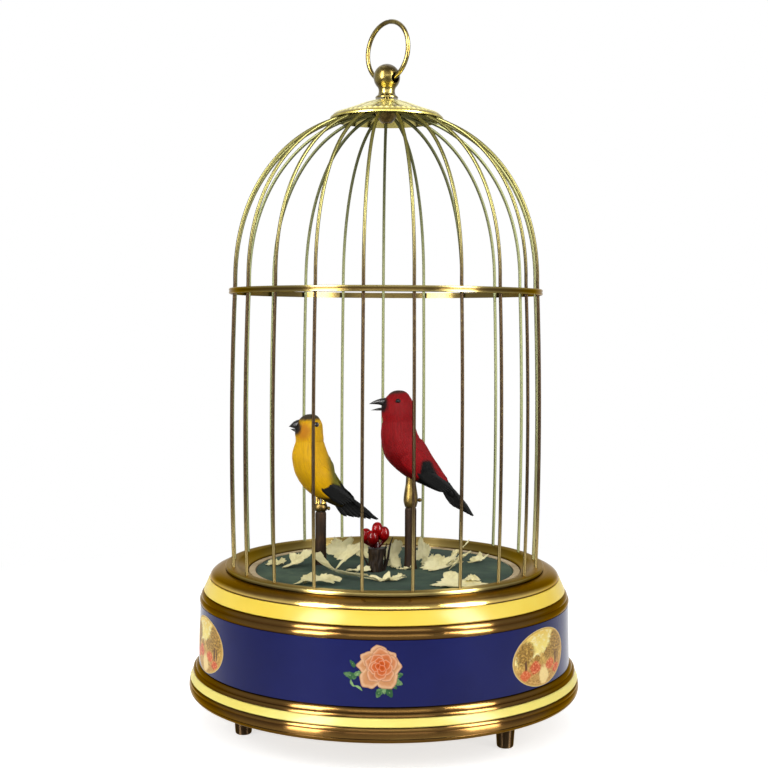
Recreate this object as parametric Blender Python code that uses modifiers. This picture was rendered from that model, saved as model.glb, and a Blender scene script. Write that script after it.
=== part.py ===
"""Singing bird cage: a domed wire cage on a turned base, two birds on perches, clockwork under the floor.

Metres, +Z up. The origin is the centre of the base on the table and -Y is the front.
"""

import math
from dataclasses import dataclass

import bmesh
import bpy
from mathutils import Matrix, Vector

MM = 0.001

# Clearances
SEAT_GAP = 0.3 * MM
PIVOT_GAP = 0.3 * MM

# Facets round a turned piece
BASE_FACETS = 36
CAGE_FACETS = 42
CROWN_FACETS = 24
SMALL_FACETS = 14
WIRE_FACETS = 8
ARBOR_FACETS = 6

# Feet and bottom plate
FOOT_HEIGHT = 14.7 * MM
FOOT_TOP_R = 4.3 * MM
FOOT_TIP_R = 3.2 * MM
FOOT_SHANK_R = 1.6 * MM
FOOT_COUNT = 3
FIRST_FOOT_ANGLE = math.radians(51.6)
BOTTOM_PLATE_T = 1.4 * MM
SOUND_SLOT_W = 3.0 * MM
SOUND_SLOT_L = 16.0 * MM
SOUND_SLOT_PITCH = 6.5 * MM
SOUND_SLOT_COUNT = 4
SOUND_SLOT_CIRCLE_R = 46.7 * MM
SOUND_SLOT_MIDDLE = math.radians(9.9)

# Base mouldings and drum
DRUM_TOP_R = 74.3 * MM
DRUM_TAPER = 0.8 * MM
DRUM_H = 23.7 * MM
DRUM_WALL = 0.8 * MM
RIM_H = 11.5 * MM
RIM_OUT = 3.9 * MM
SHOULDER_H = 13.4 * MM
BEAD_BULGE = 0.6 * MM
ENAMEL_T = 0.6 * MM
LIP_T = 0.8 * MM
LIP_H = 3.2 * MM
LEDGE_W = 6.0 * MM

# Floor
FLOOR_T = 1.4 * MM
BORDER_W = 2.6 * MM

# Cage
BAR_COUNT = 21
BARS_IN_GROUP = 3
FIRST_BAR_ANGLE = math.radians(9.6)
BAR_R = 0.65 * MM
CAGE_IN_FROM_DRUM = 12.9 * MM
BAR_LEAN_IN = 1.1 * MM
BAR_BOW = 1.1 * MM
BAR_RISE = 111.0 * MM
BAR_STEPS = 2
DOME_RISE = 67.4 * MM
DOME_FULLNESS = 2.15
DOME_STEPS = 6
BAR_END_R = 6.0 * MM
BAR_END_OFFSET = 1.0 * MM
CAGE_RING_H = 1.3 * MM
CAGE_RING_OUT = 2.8 * MM
CAGE_RING_IN = 1.4 * MM
MID_RING_UP = 107.4 * MM
MID_RING_H = 2.3 * MM
MID_RING_T = 0.7 * MM

# Crown and hanging ring
CAP_R = 22.3 * MM
CAP_T = 0.7 * MM
CAP_RISE = 7.95 * MM
CAP_LINE = ((0.25, 0.93), (0.66, 0.53), (0.91, 0.29), (0.985, 0.16))
HUB_R = 4.8 * MM
HUB_NUT_R = 3.4 * MM
HUB_NUT_H = 2.8 * MM
SHANK_R = 1.2 * MM
BALL_R = 5.2 * MM
NECK_R = 3.3 * MM
NECK_H = 3.65 * MM
FINIAL_FOOT_R = 4.5 * MM
RING_HOLE_R = 2.0 * MM
RING_HOLE_BELOW_BALL = 0.6 * MM
RING_R = 11.3 * MM
RING_WIRE_R = 0.9 * MM
RING_HINGE_ABOVE_WIRE = 0.6 * MM
RING_TURN = math.radians(-46.0)
RING_LEAN = math.radians(-2.0)

# Birds and perches
SPINDLE_R = 0.5 * MM
BORE_R = 1.0 * MM
RED_PERCH_XY = Vector((10.5 * MM, 0.0))
RED_PERCH_H = 24.6 * MM
RED_PERCH_R = 2.35 * MM
RED_CLIP_H = 13.3 * MM
YELLOW_PERCH_XY = Vector((-26.3 * MM, 8.0 * MM))
YELLOW_PERCH_H = 21.7 * MM
YELLOW_PERCH_R = 2.25 * MM
YELLOW_CLIP_H = 7.6 * MM
LEG_R = 0.7 * MM
LEG_SPREAD = 1.5 * MM
NECK_GAP = 0.3 * MM
NECK_PIN_R = 1.2 * MM
NECK_PIN_L = 5.0 * MM
MOUTH_GAP = 0.35 * MM
TAIL_TONGUE_R = 0.8 * MM

# Planting on the floor
STUMP_XY = Vector((-3.6 * MM, -7.0 * MM))
STUMP_H = 9.4 * MM
STUMP_R = 3.1 * MM
BERRY_R = 2.3 * MM
BERRY_LONG = 1.35
SCRAP_T = 0.9 * MM

# Movement frame
MOVEMENT_STAND = 4.6 * MM
RATCHET_UP = 1.4 * MM
FRAME_PLATE_T = 1.4 * MM
FRAME_SPACE = 21.6 * MM
PILLAR_R = 2.0 * MM
ARBOR_R = 0.9 * MM
STUD_R = 1.2 * MM
STUD_HEAD_R = 2.2 * MM

# Gear train
TOOTH_ROOT = 0.33
TOOTH_TIP = 0.12
ADDENDUM = 0.9
DEDENDUM = 1.2
BARREL_XY = Vector((-20.0 * MM, 0.0))
BARREL_MODULE = 1.25 * MM
SECOND_MODULE = 1.125 * MM
THIRD_MODULE = 0.97 * MM
GREAT_TEETH = 32
PINION_TEETH = 8
SECOND_TEETH = 24
THIRD_TEETH = 20
CAM_TEETH = 22
SECOND_DIRECTION = math.radians(50.0)
THIRD_DIRECTION = math.radians(-10.0)
FLY_DIRECTION = math.radians(20.0)
CAM_DIRECTION = math.radians(-35.0)
WHEEL_T = 1.6 * MM
PINION_FACE = 2.8 * MM

# Spring, key and click
BARREL_R = 16.8 * MM
BARREL_H = 12.6 * MM
BARREL_WALL = 1.0 * MM
BARREL_FLOOR = 2.0 * MM
SPRING_TURNS = 4
SPRING_STEPS = 8
SPRING_T = 0.5 * MM
WINDING_R = 2.5 * MM
KEY_HUB_R = 4.6 * MM
KEY_WING_REACH = 13.0 * MM
KEY_WING_T = 2.4 * MM
KEY_CLEAR_OF_TABLE = 4.5 * MM
KEY_H = 9.0 * MM
RATCHET_R = 6.5 * MM
RATCHET_TEETH = 12
RATCHET_T = 1.4 * MM
CLICK_PIVOT = Vector((-12.0 * MM, 6.0 * MM))
CLICK_ELBOW = (8.0 * MM, math.radians(190.0))
CLICK_NOSE = (6.15 * MM, math.radians(187.0))
CLICK_W = 1.8 * MM
CLICK_NOSE_W = 0.9 * MM

# Governor and stop lever
FLY_R = 6.8 * MM
FLY_H = 6.5 * MM
STOP_WIRE_R = 0.6 * MM
STOP_TRAVEL = math.radians(8.0)
STOP_ARM = 14.0 * MM
STOP_LEVER_T = 1.2 * MM
STOP_FINGER = Vector((-5.2 * MM, 27.3 * MM))

# Bird cams, levers and cranks
CAM_R = 8.5 * MM
CAM_LIFT = 1.6 * MM
CAM_T = 1.6 * MM
SONG_CAM_R = 10.0 * MM
LEVER_T = 1.2 * MM
LEVER_W = 3.0 * MM
LEVER_ARM = 20.0 * MM
CRANK_ARM = 5.0 * MM
CRANK_PIN_R = 0.6 * MM
FORK_GAP = 0.45 * MM
RED_LEVER_UP = 1.8 * MM
YELLOW_LEVER_UP = 5.2 * MM
RED_NOSE_GAP = 3.0 * MM
YELLOW_NOSE_GAP = 4.3 * MM
NOSE_R = 1.2 * MM

# Bellows and whistle
BELLOWS_X = (38.0 * MM, 60.0 * MM)
BELLOWS_Y = (-24.0 * MM, 17.0 * MM)
BELLOWS_BOX_H = 3.5 * MM
BELLOWS_BOARD_T = 2.0 * MM
BELLOWS_HINGE_UP = 0.8 * MM
BELLOWS_OPEN = math.radians(9.0)
WHISTLE_START = Vector((-42.0 * MM, -34.0 * MM))
WHISTLE_L = 32.0 * MM
WHISTLE_R = 4.0 * MM
WHISTLE_WALL = 0.8 * MM
WHISTLE_UP = 4.8 * MM
PISTON_REST = 10.0 * MM
PISTON_L = 5.0 * MM
PISTON_ROD = 20.0 * MM
PISTON_ROD_R = 0.8 * MM

# Radii that follow from the drum's
DRUM_BOTTOM_R = DRUM_TOP_R + DRUM_TAPER
BAR_CIRCLE_R = DRUM_TOP_R - CAGE_IN_FROM_DRUM
DOME_R = BAR_CIRCLE_R - BAR_LEAN_IN
FLOOR_R = BAR_CIRCLE_R - 9.4 * MM
FOOT_CIRCLE_R = DRUM_TOP_R - 14.8 * MM

# Heights that follow from the sizes above
PLATE_LOW = FOOT_HEIGHT + SEAT_GAP
PLATE_TOP = PLATE_LOW + BOTTOM_PLATE_T
DRUM_LOW = PLATE_LOW + RIM_H
DRUM_TOP = DRUM_LOW + DRUM_H
SHOULDER_LOW = DRUM_TOP
SHOULDER_TOP = SHOULDER_LOW + SHOULDER_H
FLOOR_SEAT = SHOULDER_TOP - 3.0 * MM
FLOOR_LOW = FLOOR_SEAT + SEAT_GAP
FLOOR_TOP = FLOOR_LOW + FLOOR_T
CAGE_RING_LOW = SHOULDER_TOP + SEAT_GAP
CAGE_RING_TOP = CAGE_RING_LOW + CAGE_RING_H
BAR_LOW = CAGE_RING_TOP + SEAT_GAP
DOME_LOW = BAR_LOW + BAR_RISE
MID_RING_LOW = CAGE_RING_TOP + MID_RING_UP
LOWER_FRAME = PLATE_TOP + MOVEMENT_STAND
LOWER_FRAME_TOP = LOWER_FRAME + FRAME_PLATE_T
UPPER_FRAME = LOWER_FRAME_TOP + FRAME_SPACE
UPPER_FRAME_TOP = UPPER_FRAME + FRAME_PLATE_T
GREAT_WHEEL_Z = LOWER_FRAME_TOP + 2.2 * MM
THIRD_WHEEL_Z = GREAT_WHEEL_Z + 2.4 * MM
SECOND_WHEEL_Z = GREAT_WHEEL_Z + 14.0 * MM
BARREL_LOW = GREAT_WHEEL_Z - 0.2 * MM
RED_LEVER_Z = UPPER_FRAME_TOP + RED_LEVER_UP
YELLOW_LEVER_Z = UPPER_FRAME_TOP + YELLOW_LEVER_UP


def polar(radius, angle):
    return Vector((radius * math.cos(angle), radius * math.sin(angle)))


def from_front(radius, angle):
    """Plan position at an angle turned from the front, -Y, towards +X."""
    return Vector((radius * math.sin(angle), -radius * math.cos(angle)))


def mesh_distance(module, wheel_teeth, pinion_teeth):
    return module * (wheel_teeth + pinion_teeth) / 2


# Arbor positions in plan: each follows from the tooth counts
SECOND_XY = BARREL_XY + polar(mesh_distance(BARREL_MODULE, GREAT_TEETH, PINION_TEETH), SECOND_DIRECTION)
THIRD_XY = SECOND_XY + polar(mesh_distance(SECOND_MODULE, SECOND_TEETH, PINION_TEETH), THIRD_DIRECTION)
FLY_XY = THIRD_XY + polar(mesh_distance(THIRD_MODULE, THIRD_TEETH, PINION_TEETH), FLY_DIRECTION)
CAM_XY = BARREL_XY + polar(mesh_distance(BARREL_MODULE, GREAT_TEETH, CAM_TEETH), CAM_DIRECTION)
STOP_WIRE_XY = FLY_XY + Vector((FLY_R + STOP_WIRE_R + SEAT_GAP + STOP_ARM * math.sin(STOP_TRAVEL), 0.0))
STOP_PIVOT_XY = STOP_WIRE_XY + Vector((0.0, STOP_ARM))
RED_LEVER_XY = RED_PERCH_XY + Vector((CRANK_ARM + LEVER_ARM, 0.0))
YELLOW_LEVER_XY = YELLOW_PERCH_XY - Vector((0.0, CRANK_ARM + LEVER_ARM))
PILLAR_XY = (
    Vector((-39.0 * MM, 27.0 * MM)),
    Vector((38.0 * MM, 30.0 * MM)),
    Vector((38.0 * MM, -31.0 * MM)),
    Vector((-40.0 * MM, -23.0 * MM)),
)
STAND_XY = (Vector((-44.0 * MM, 20.0 * MM)), Vector((50.0 * MM, -30.0 * MM)), Vector((52.0 * MM, 22.0 * MM)))


def clear_scene():
    for obj in list(bpy.data.objects):
        bpy.data.objects.remove(obj)


def new_collection(name):
    group = bpy.data.collections.new(name)
    bpy.context.scene.collection.children.link(group)
    return group


clear_scene()
PARTS = new_collection("singing_bird_cage")
CUTTERS = new_collection("cutters")


# Materials

def material(name, colour, roughness, metallic):
    mat = bpy.data.materials.new(name)
    mat.use_nodes = True
    shader = mat.node_tree.nodes["Principled BSDF"]
    shader.inputs["Base Color"].default_value = (*colour, 1.0)
    shader.inputs["Roughness"].default_value = roughness
    shader.inputs["Metallic"].default_value = metallic
    return mat


BRASS = material("polished_brass", (0.72, 0.50, 0.18), 0.22, 1.0)
DARK_BRASS = material("aged_brass", (0.42, 0.28, 0.11), 0.35, 1.0)
STEEL = material("steel", (0.45, 0.45, 0.46), 0.35, 1.0)
BLUE = material("blue_enamel", (0.020, 0.024, 0.110), 0.15, 0.0)
CREAM = material("cream_enamel", (0.95, 0.78, 0.24), 0.2, 0.0)
TEAL = material("green_floor", (0.035, 0.085, 0.085), 0.8, 0.0)
PALE = material("pale_paper", (0.70, 0.64, 0.42), 0.9, 0.0)
BARK = material("bark_brown", (0.10, 0.050, 0.022), 0.7, 0.0)
RED = material("red_feather", (0.36, 0.012, 0.022), 0.6, 0.0)
YELLOW = material("yellow_feather", (0.80, 0.46, 0.015), 0.6, 0.0)
BLACK = material("black_feather", (0.012, 0.013, 0.014), 0.5, 0.0)
BERRY = material("red_lacquer", (0.55, 0.008, 0.012), 0.2, 0.0)
WOOD = material("bellows_wood", (0.25, 0.13, 0.06), 0.6, 0.0)
LEATHER = material("bellows_leather", (0.42, 0.30, 0.18), 0.8, 0.0)


# Modelling helpers

def place(name, mesh, mat, cutter=False):
    """A new object in the parts, or a hidden guide in the cutters."""
    obj = bpy.data.objects.new(name, mesh)
    (CUTTERS if cutter else PARTS).objects.link(obj)
    if mat and not mesh.materials:
        mesh.materials.append(mat)
    if cutter:
        hide(obj)
    return obj


def hide(obj):
    obj.hide_render = True
    obj.display_type = "WIRE"


def combine(obj, other, operation="UNION"):
    """Join or cut an object with another, which becomes a hidden guide."""
    step = obj.modifiers.new(f"{operation.lower()}_{len(obj.modifiers)}", "BOOLEAN")
    step.operation = operation
    step.solver = "EXACT"
    step.object = other
    if other.name in PARTS.objects:
        PARTS.objects.unlink(other)
        CUTTERS.objects.link(other)
    hide(other)


def cut(obj, other):
    combine(obj, other, "DIFFERENCE")


def turned(name, profile, mat, facets=SMALL_FACETS, loop=True, cutter=False):
    """A profile of (radius, height) turned about Z; a loop is a ring, an open one starts and ends on Z."""
    mesh = bpy.data.meshes.new(name)
    edges = [(i, i + 1) for i in range(len(profile) - 1)]
    if loop:
        edges.append((len(profile) - 1, 0))
    mesh.from_pydata([(r, 0.0, z) for r, z in profile], edges, [])
    obj = place(name, mesh, mat, cutter)
    turn = obj.modifiers.new("Turn", "SCREW")
    turn.axis = "Z"
    turn.angle = math.tau
    turn.steps = facets
    turn.render_steps = facets
    turn.use_merge_vertices = True
    turn.merge_threshold = 0.00001
    return obj


def rod(name, radius, z_low, z_high, xy, mat=None, facets=ARBOR_FACETS, cutter=False):
    """An upright cylinder."""
    profile = [(0.0, z_high), (radius, z_high), (radius, z_low), (0.0, z_low)]
    obj = turned(name, profile, mat, facets, loop=False, cutter=cutter)
    obj.location = (xy[0], xy[1], 0.0)
    return obj


def mesh_from_curve(curve, name):
    """The closed mesh of a curve drawn in millimetres, with its caps welded on."""
    guide = bpy.data.objects.new(f"{name}_guide", curve)
    PARTS.objects.link(guide)
    bpy.context.view_layer.update()
    graph = bpy.context.evaluated_depsgraph_get()
    mesh = bpy.data.meshes.new_from_object(guide.evaluated_get(graph))
    bpy.data.objects.remove(guide)
    shape = bmesh.new()
    shape.from_mesh(mesh)
    bmesh.ops.remove_doubles(shape, verts=shape.verts, dist=0.002)
    bmesh.ops.recalc_face_normals(shape, faces=shape.faces)
    shape.to_mesh(mesh)
    shape.free()
    mesh.transform(Matrix.Scale(MM, 4))
    mesh.name = name
    return mesh


def plate(name, loops, z_low, z_high, mat=None, cutter=False):
    """A flat outline, with any holes as further loops, filled and given its thickness."""
    curve = bpy.data.curves.new(name, "CURVE")
    curve.dimensions = "2D"
    curve.fill_mode = "BOTH"
    curve.extrude = (z_high - z_low) / 2 / MM
    for loop in loops:
        spline = curve.splines.new("POLY")
        spline.points.add(len(loop) - 1)
        for point, xy in zip(spline.points, loop):
            point.co = (xy[0] / MM, xy[1] / MM, 0.0, 1.0)
        spline.use_cyclic_u = True
    mesh = mesh_from_curve(curve, name)
    mesh.transform(Matrix.Translation((0.0, 0.0, (z_low + z_high) / 2)))
    return place(name, mesh, mat, cutter)


def wire(name, points, radius, mat, resolution=1, cutter=False):
    """A round wire through points, with closed ends."""
    curve = bpy.data.curves.new(name, "CURVE")
    curve.dimensions = "3D"
    curve.bevel_depth = radius / MM
    curve.bevel_resolution = resolution
    curve.use_fill_caps = True
    spline = curve.splines.new("POLY")
    spline.points.add(len(points) - 1)
    for point, at in zip(spline.points, points):
        point.co = (*(Vector(at) / MM), 1.0)
    mesh = mesh_from_curve(curve, name)
    mesh.shade_smooth()
    mesh.set_sharp_from_angle(angle=math.radians(40.0))
    return place(name, mesh, mat, cutter)


def skin(name, rings, mat, start=None, end=None, cutter=False):
    """A loft through rings of equal count; each end is a face, or runs to a single point."""
    shape = bmesh.new()
    rows = [[shape.verts.new(p) for p in ring] for ring in rings]
    for row, following in zip(rows, rows[1:]):
        for i in range(len(row)):
            j = (i + 1) % len(row)
            shape.faces.new((row[i], row[j], following[j], following[i]))
    for row, tip in ((rows[0], start), (rows[-1], end)):
        if tip is None:
            shape.faces.new(row)
            continue
        point = shape.verts.new(tip)
        for i in range(len(row)):
            shape.faces.new((row[i], row[(i + 1) % len(row)], point))
    bmesh.ops.recalc_face_normals(shape, faces=shape.faces)
    mesh = bpy.data.meshes.new(name)
    shape.to_mesh(mesh)
    shape.free()
    mesh.shade_smooth()
    mesh.set_sharp_from_angle(angle=math.radians(40.0))
    return place(name, mesh, mat, cutter)


def oval(centre, lean, thick, wide, sides):
    """An oval ring of half sizes thick by wide, whose axis leans from straight down towards +X."""
    across = Vector((math.cos(lean), 0.0, math.sin(lean)))
    side = Vector((0.0, 1.0, 0.0))
    turns = (math.tau * i / sides for i in range(sides))
    return [Vector(centre) + across * thick * math.cos(a) + side * wide * math.sin(a) for a in turns]


def block(name, low, high, mat=None, cutter=False):
    """A box between two corners."""
    shape = bmesh.new()
    bmesh.ops.create_cube(shape, size=1.0)
    mesh = bpy.data.meshes.new(name)
    shape.to_mesh(mesh)
    shape.free()
    size = [b - a for a, b in zip(low, high)]
    middle = [(a + b) / 2 for a, b in zip(low, high)]
    mesh.transform(Matrix.LocRotScale(Vector(middle), None, Vector(size)))
    return place(name, mesh, mat, cutter)


def circle(centre, radius, facets=WIRE_FACETS):
    return [Vector(centre) + polar(radius, math.tau * i / facets) for i in range(facets)]


def slot(start, end, half_width, steps=4):
    """A straight outline from start to end with round ends."""
    along = math.atan2(end[1] - start[1], end[0] - start[0])
    points = []
    for centre, first in ((end, along - math.pi / 2), (start, along + math.pi / 2)):
        points += [Vector(centre) + polar(half_width, first + math.pi * i / steps) for i in range(steps + 1)]
    return points


def rounded_box(x_low, x_high, y_low, y_high, corner, steps=3):
    points = []
    corners = (
        (x_high - corner, y_high - corner, 0.0),
        (x_low + corner, y_high - corner, 0.5 * math.pi),
        (x_low + corner, y_low + corner, math.pi),
        (x_high - corner, y_low + corner, 1.5 * math.pi),
    )
    for x, y, first in corners:
        points += [Vector((x, y)) + polar(corner, first + 0.5 * math.pi * i / steps) for i in range(steps + 1)]
    return points


def gear(teeth, module, phase):
    """A spur gear's outline with tapered teeth; a tooth stands at the phase angle."""
    pitch_r = module * teeth / 2
    tip_r = pitch_r + ADDENDUM * module
    root_r = pitch_r - DEDENDUM * module
    step = math.tau / teeth
    corners = ((root_r, -TOOTH_ROOT), (tip_r, -TOOTH_TIP), (tip_r, TOOTH_TIP), (root_r, TOOTH_ROOT))
    return [polar(r, phase + (tooth + share) * step) for tooth in range(teeth) for r, share in corners]


def arc(centre, radius, height, start, end, steps):
    """Points of an elliptic arc in the (radius, height) plane; angles in degrees from outwards to up."""
    angles = (math.radians(start + (end - start) * i / steps) for i in range(steps + 1))
    return [(centre[0] + radius * math.cos(a), centre[1] + height * math.sin(a)) for a in angles]


def bead(start, end, bulge=BEAD_BULGE, steps=3):
    """A convex bead between two points of an outline that runs downwards."""
    along = Vector(end) - Vector(start)
    outward = Vector((-along.y, along.x)).normalized()
    shares = (i / steps for i in range(steps))
    return [tuple(Vector(start) + along * s + outward * 4.0 * bulge * s * (1.0 - s)) for s in shares]


# Base

def drum_inner_r(z):
    """Inside radius of the slightly conical drum band at a height."""
    share = (z - DRUM_LOW) / DRUM_H
    return DRUM_BOTTOM_R + (DRUM_TOP_R - DRUM_BOTTOM_R) * share - DRUM_WALL


RIM_CHANNEL = ((DRUM_BOTTOM_R + 2.2 * MM, DRUM_LOW - 3.6 * MM), (DRUM_BOTTOM_R + 3.4 * MM, DRUM_LOW - 6.5 * MM))
SHOULDER_CHANNEL = (
    (DRUM_TOP_R - 3.6 * MM, DRUM_TOP + 9.8 * MM),
    (DRUM_TOP_R - 1.5 * MM, DRUM_TOP + 4.8 * MM),
)
CAGE_RING_OUT_R = BAR_CIRCLE_R + CAGE_RING_OUT
SHOULDER_R = CAGE_RING_OUT_R + 0.2 * MM
FLANGE_STEP_R = BAR_CIRCLE_R - 1.3 * MM
FLANGE_IN_R = FLOOR_R - 2.0 * MM


def lower_moulding():
    """The turned rim: two beads, the channel for the lower enamel band, and the swelling foot bead."""
    (top_r, top_z), (low_r, low_z) = RIM_CHANNEL
    back = ENAMEL_T + SEAT_GAP
    lip_out = drum_inner_r(DRUM_LOW + LIP_H) - SEAT_GAP
    lip_in = lip_out - LIP_T
    widest = DRUM_BOTTOM_R + RIM_OUT
    ledge_z = PLATE_TOP + SEAT_GAP
    crest = (DRUM_BOTTOM_R + 1.2 * MM, DRUM_LOW - 2.0 * MM)
    profile = bead((DRUM_BOTTOM_R + 0.1 * MM, DRUM_LOW - SEAT_GAP), crest)
    profile += bead(crest, (top_r + 0.1 * MM, top_z + SEAT_GAP))
    profile += [
        (top_r + 0.1 * MM, top_z + SEAT_GAP),
        (top_r - back, top_z + SEAT_GAP),
        (low_r - back, low_z - SEAT_GAP),
        (low_r + 0.1 * MM, low_z - SEAT_GAP),
    ]
    profile += arc((widest - 2.4 * MM, PLATE_LOW + 1.9 * MM), 2.4 * MM, 3.0 * MM, 35.0, -80.0, 3)
    profile += [
        (DRUM_BOTTOM_R + 1.6 * MM, PLATE_LOW - 0.9 * MM),
        (DRUM_BOTTOM_R + 1.6 * MM, ledge_z),
        (DRUM_BOTTOM_R + 1.6 * MM - LEDGE_W, ledge_z),
        (DRUM_BOTTOM_R + 1.6 * MM - LEDGE_W, ledge_z + 1.0 * MM),
        (DRUM_BOTTOM_R + 0.2 * MM, ledge_z + 1.6 * MM),
        (lip_in, DRUM_LOW - 0.9 * MM),
        (lip_in, DRUM_LOW + LIP_H),
        (lip_out, DRUM_LOW + LIP_H),
        (lip_out, DRUM_LOW - SEAT_GAP),
    ]
    return turned("lower_moulding", profile, BRASS, BASE_FACETS)


def enamel_band(name, channel, mat):
    """A thin band seated in a moulding's channel."""
    (top_r, top_z), (low_r, low_z) = channel
    profile = [(top_r, top_z), (low_r, low_z), (low_r - ENAMEL_T, low_z), (top_r - ENAMEL_T, top_z)]
    return turned(name, profile, mat, BASE_FACETS)


def drum_band():
    profile = [
        (DRUM_TOP_R, DRUM_TOP),
        (DRUM_BOTTOM_R, DRUM_LOW),
        (DRUM_BOTTOM_R - DRUM_WALL, DRUM_LOW),
        (DRUM_TOP_R - DRUM_WALL, DRUM_TOP),
    ]
    return turned("blue_drum_band", profile, BLUE, BASE_FACETS)


def upper_moulding():
    """The turned shoulder: ovolo, channel, two beads, with the flange that carries floor and cage."""
    (top_r, top_z), (low_r, low_z) = SHOULDER_CHANNEL
    back = ENAMEL_T + SEAT_GAP
    lip_out = drum_inner_r(DRUM_TOP) - SEAT_GAP
    lip_in = lip_out - LIP_T
    ovolo_reach = top_r - 0.4 * MM - SHOULDER_R
    ovolo_drop = SHOULDER_TOP - top_z - SEAT_GAP
    crest = (DRUM_TOP_R - 0.5 * MM, DRUM_TOP + 2.6 * MM)
    profile = arc((SHOULDER_R, SHOULDER_TOP - ovolo_drop), ovolo_reach, ovolo_drop, 90.0, 0.0, 3)
    profile += [(top_r - back, top_z + SEAT_GAP), (low_r - back, low_z - SEAT_GAP)]
    profile += bead((low_r + 0.1 * MM, low_z - SEAT_GAP), crest)
    profile += bead(crest, (DRUM_TOP_R, DRUM_TOP + SEAT_GAP))
    profile += [
        (DRUM_TOP_R, DRUM_TOP + SEAT_GAP),
        (lip_out, DRUM_TOP + SEAT_GAP),
        (lip_out, DRUM_TOP - LIP_H),
        (lip_in, DRUM_TOP - LIP_H),
        (lip_in, DRUM_TOP + 1.3 * MM),
        (top_r - 2.4 * MM, FLOOR_SEAT - 1.0 * MM),
        (FLANGE_IN_R, FLOOR_SEAT - 1.0 * MM),
        (FLANGE_IN_R, FLOOR_SEAT),
        (FLANGE_STEP_R, FLOOR_SEAT),
        (FLANGE_STEP_R, SHOULDER_TOP),
    ]
    return turned("upper_moulding", profile, BRASS, BASE_FACETS)


def foot_xy(index):
    return from_front(FOOT_CIRCLE_R, FIRST_FOOT_ANGLE + math.tau * index / FOOT_COUNT)


def foot(index):
    """A tapered peg whose shank goes up through the bottom plate."""
    profile = [
        (0.0, PLATE_TOP + 1.8 * MM),
        (FOOT_SHANK_R, PLATE_TOP + 1.8 * MM),
        (FOOT_SHANK_R, FOOT_HEIGHT),
        (FOOT_TOP_R, FOOT_HEIGHT),
        (FOOT_TOP_R, FOOT_HEIGHT - 1.4 * MM),
        (FOOT_TIP_R, 0.5 * MM),
        (FOOT_TIP_R - 0.5 * MM, 0.0),
        (0.0, 0.0),
    ]
    obj = turned(f"foot_{index + 1}", profile, DARK_BRASS, 12, loop=False)
    obj.location = (*foot_xy(index), 0.0)
    return obj


def bottom_plate():
    """The closing plate with the key hole, foot holes, sound slots and the stop wire's slot."""
    loops = [circle((0.0, 0.0), DRUM_BOTTOM_R + 1.3 * MM, BASE_FACETS)]
    loops.append(circle(BARREL_XY, WINDING_R + 1.5 * MM, SMALL_FACETS))
    loops += [circle(foot_xy(i), FOOT_SHANK_R + PIVOT_GAP, WIRE_FACETS) for i in range(FOOT_COUNT)]
    loops.append(stop_wire_slot())
    for i in range(SOUND_SLOT_COUNT):
        step = i - (SOUND_SLOT_COUNT - 1) / 2
        turn = SOUND_SLOT_MIDDLE + step * SOUND_SLOT_PITCH / SOUND_SLOT_CIRCLE_R
        inner = from_front(SOUND_SLOT_CIRCLE_R - SOUND_SLOT_L / 2, turn)
        outer = from_front(SOUND_SLOT_CIRCLE_R + SOUND_SLOT_L / 2, turn)
        loops.append(slot(outer, inner, SOUND_SLOT_W / 2, 3))
    obj = plate("bottom_plate", loops, PLATE_LOW, PLATE_TOP, DARK_BRASS)
    stud_low = PLATE_LOW - STOP_LEVER_T - 2.0 * MM
    stud = hanging_stud("stop_lever_stud", STOP_PIVOT_XY, stud_low, PLATE_LOW)
    combine(obj, stud)
    return obj


def stop_wire_slot():
    travel = Vector((-STOP_ARM * math.sin(STOP_TRAVEL), 0.0))
    return slot(STOP_WIRE_XY + travel, STOP_WIRE_XY, STOP_WIRE_R + 0.4 * MM, 4)


def hanging_stud(name, xy, z_low, z_root):
    """A headed stud under a plate whose lower face is at z_root."""
    profile = [
        (0.0, z_root + 0.6 * MM),
        (STUD_R, z_root + 0.6 * MM),
        (STUD_R, z_low + 0.8 * MM),
        (STUD_HEAD_R, z_low + 0.8 * MM),
        (STUD_HEAD_R, z_low),
        (0.0, z_low),
    ]
    obj = turned(name, profile, None, ARBOR_FACETS, loop=False, cutter=True)
    obj.location = (xy[0], xy[1], 0.0)
    return obj


# Floor

def floor_disc():
    loops = [circle((0.0, 0.0), FLOOR_R, BASE_FACETS)]
    loops += [circle(xy, BORE_R, WIRE_FACETS) for xy in (RED_PERCH_XY, YELLOW_PERCH_XY)]
    return plate("floor_disc", loops, FLOOR_LOW, FLOOR_TOP, TEAL)


def floor_border():
    inner = FLOOR_R + SEAT_GAP
    outer = inner + BORDER_W
    top = FLOOR_TOP + 0.2 * MM
    profile = [(outer, top), (outer, FLOOR_LOW), (inner, FLOOR_LOW), (inner, top)]
    return turned("floor_border_ring", profile, PALE, BASE_FACETS)


# Cage

def cage_base_ring():
    """The ring the bars stand on, with a lip that slopes down to the floor's border."""
    inner = FLOOR_R + BORDER_W + 2 * SEAT_GAP
    ledge = BAR_CIRCLE_R - CAGE_RING_IN
    profile = [
        (CAGE_RING_OUT_R - 0.5 * MM, CAGE_RING_TOP),
        (CAGE_RING_OUT_R, CAGE_RING_TOP - 0.5 * MM),
        (CAGE_RING_OUT_R, CAGE_RING_LOW),
        (FLANGE_STEP_R - 0.3 * MM, CAGE_RING_LOW),
        (inner, FLOOR_LOW + 1.2 * MM),
        (inner, FLOOR_LOW + 1.9 * MM),
        (ledge, CAGE_RING_TOP),
    ]
    return turned("cage_base_ring", profile, BRASS, BASE_FACETS)


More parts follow.
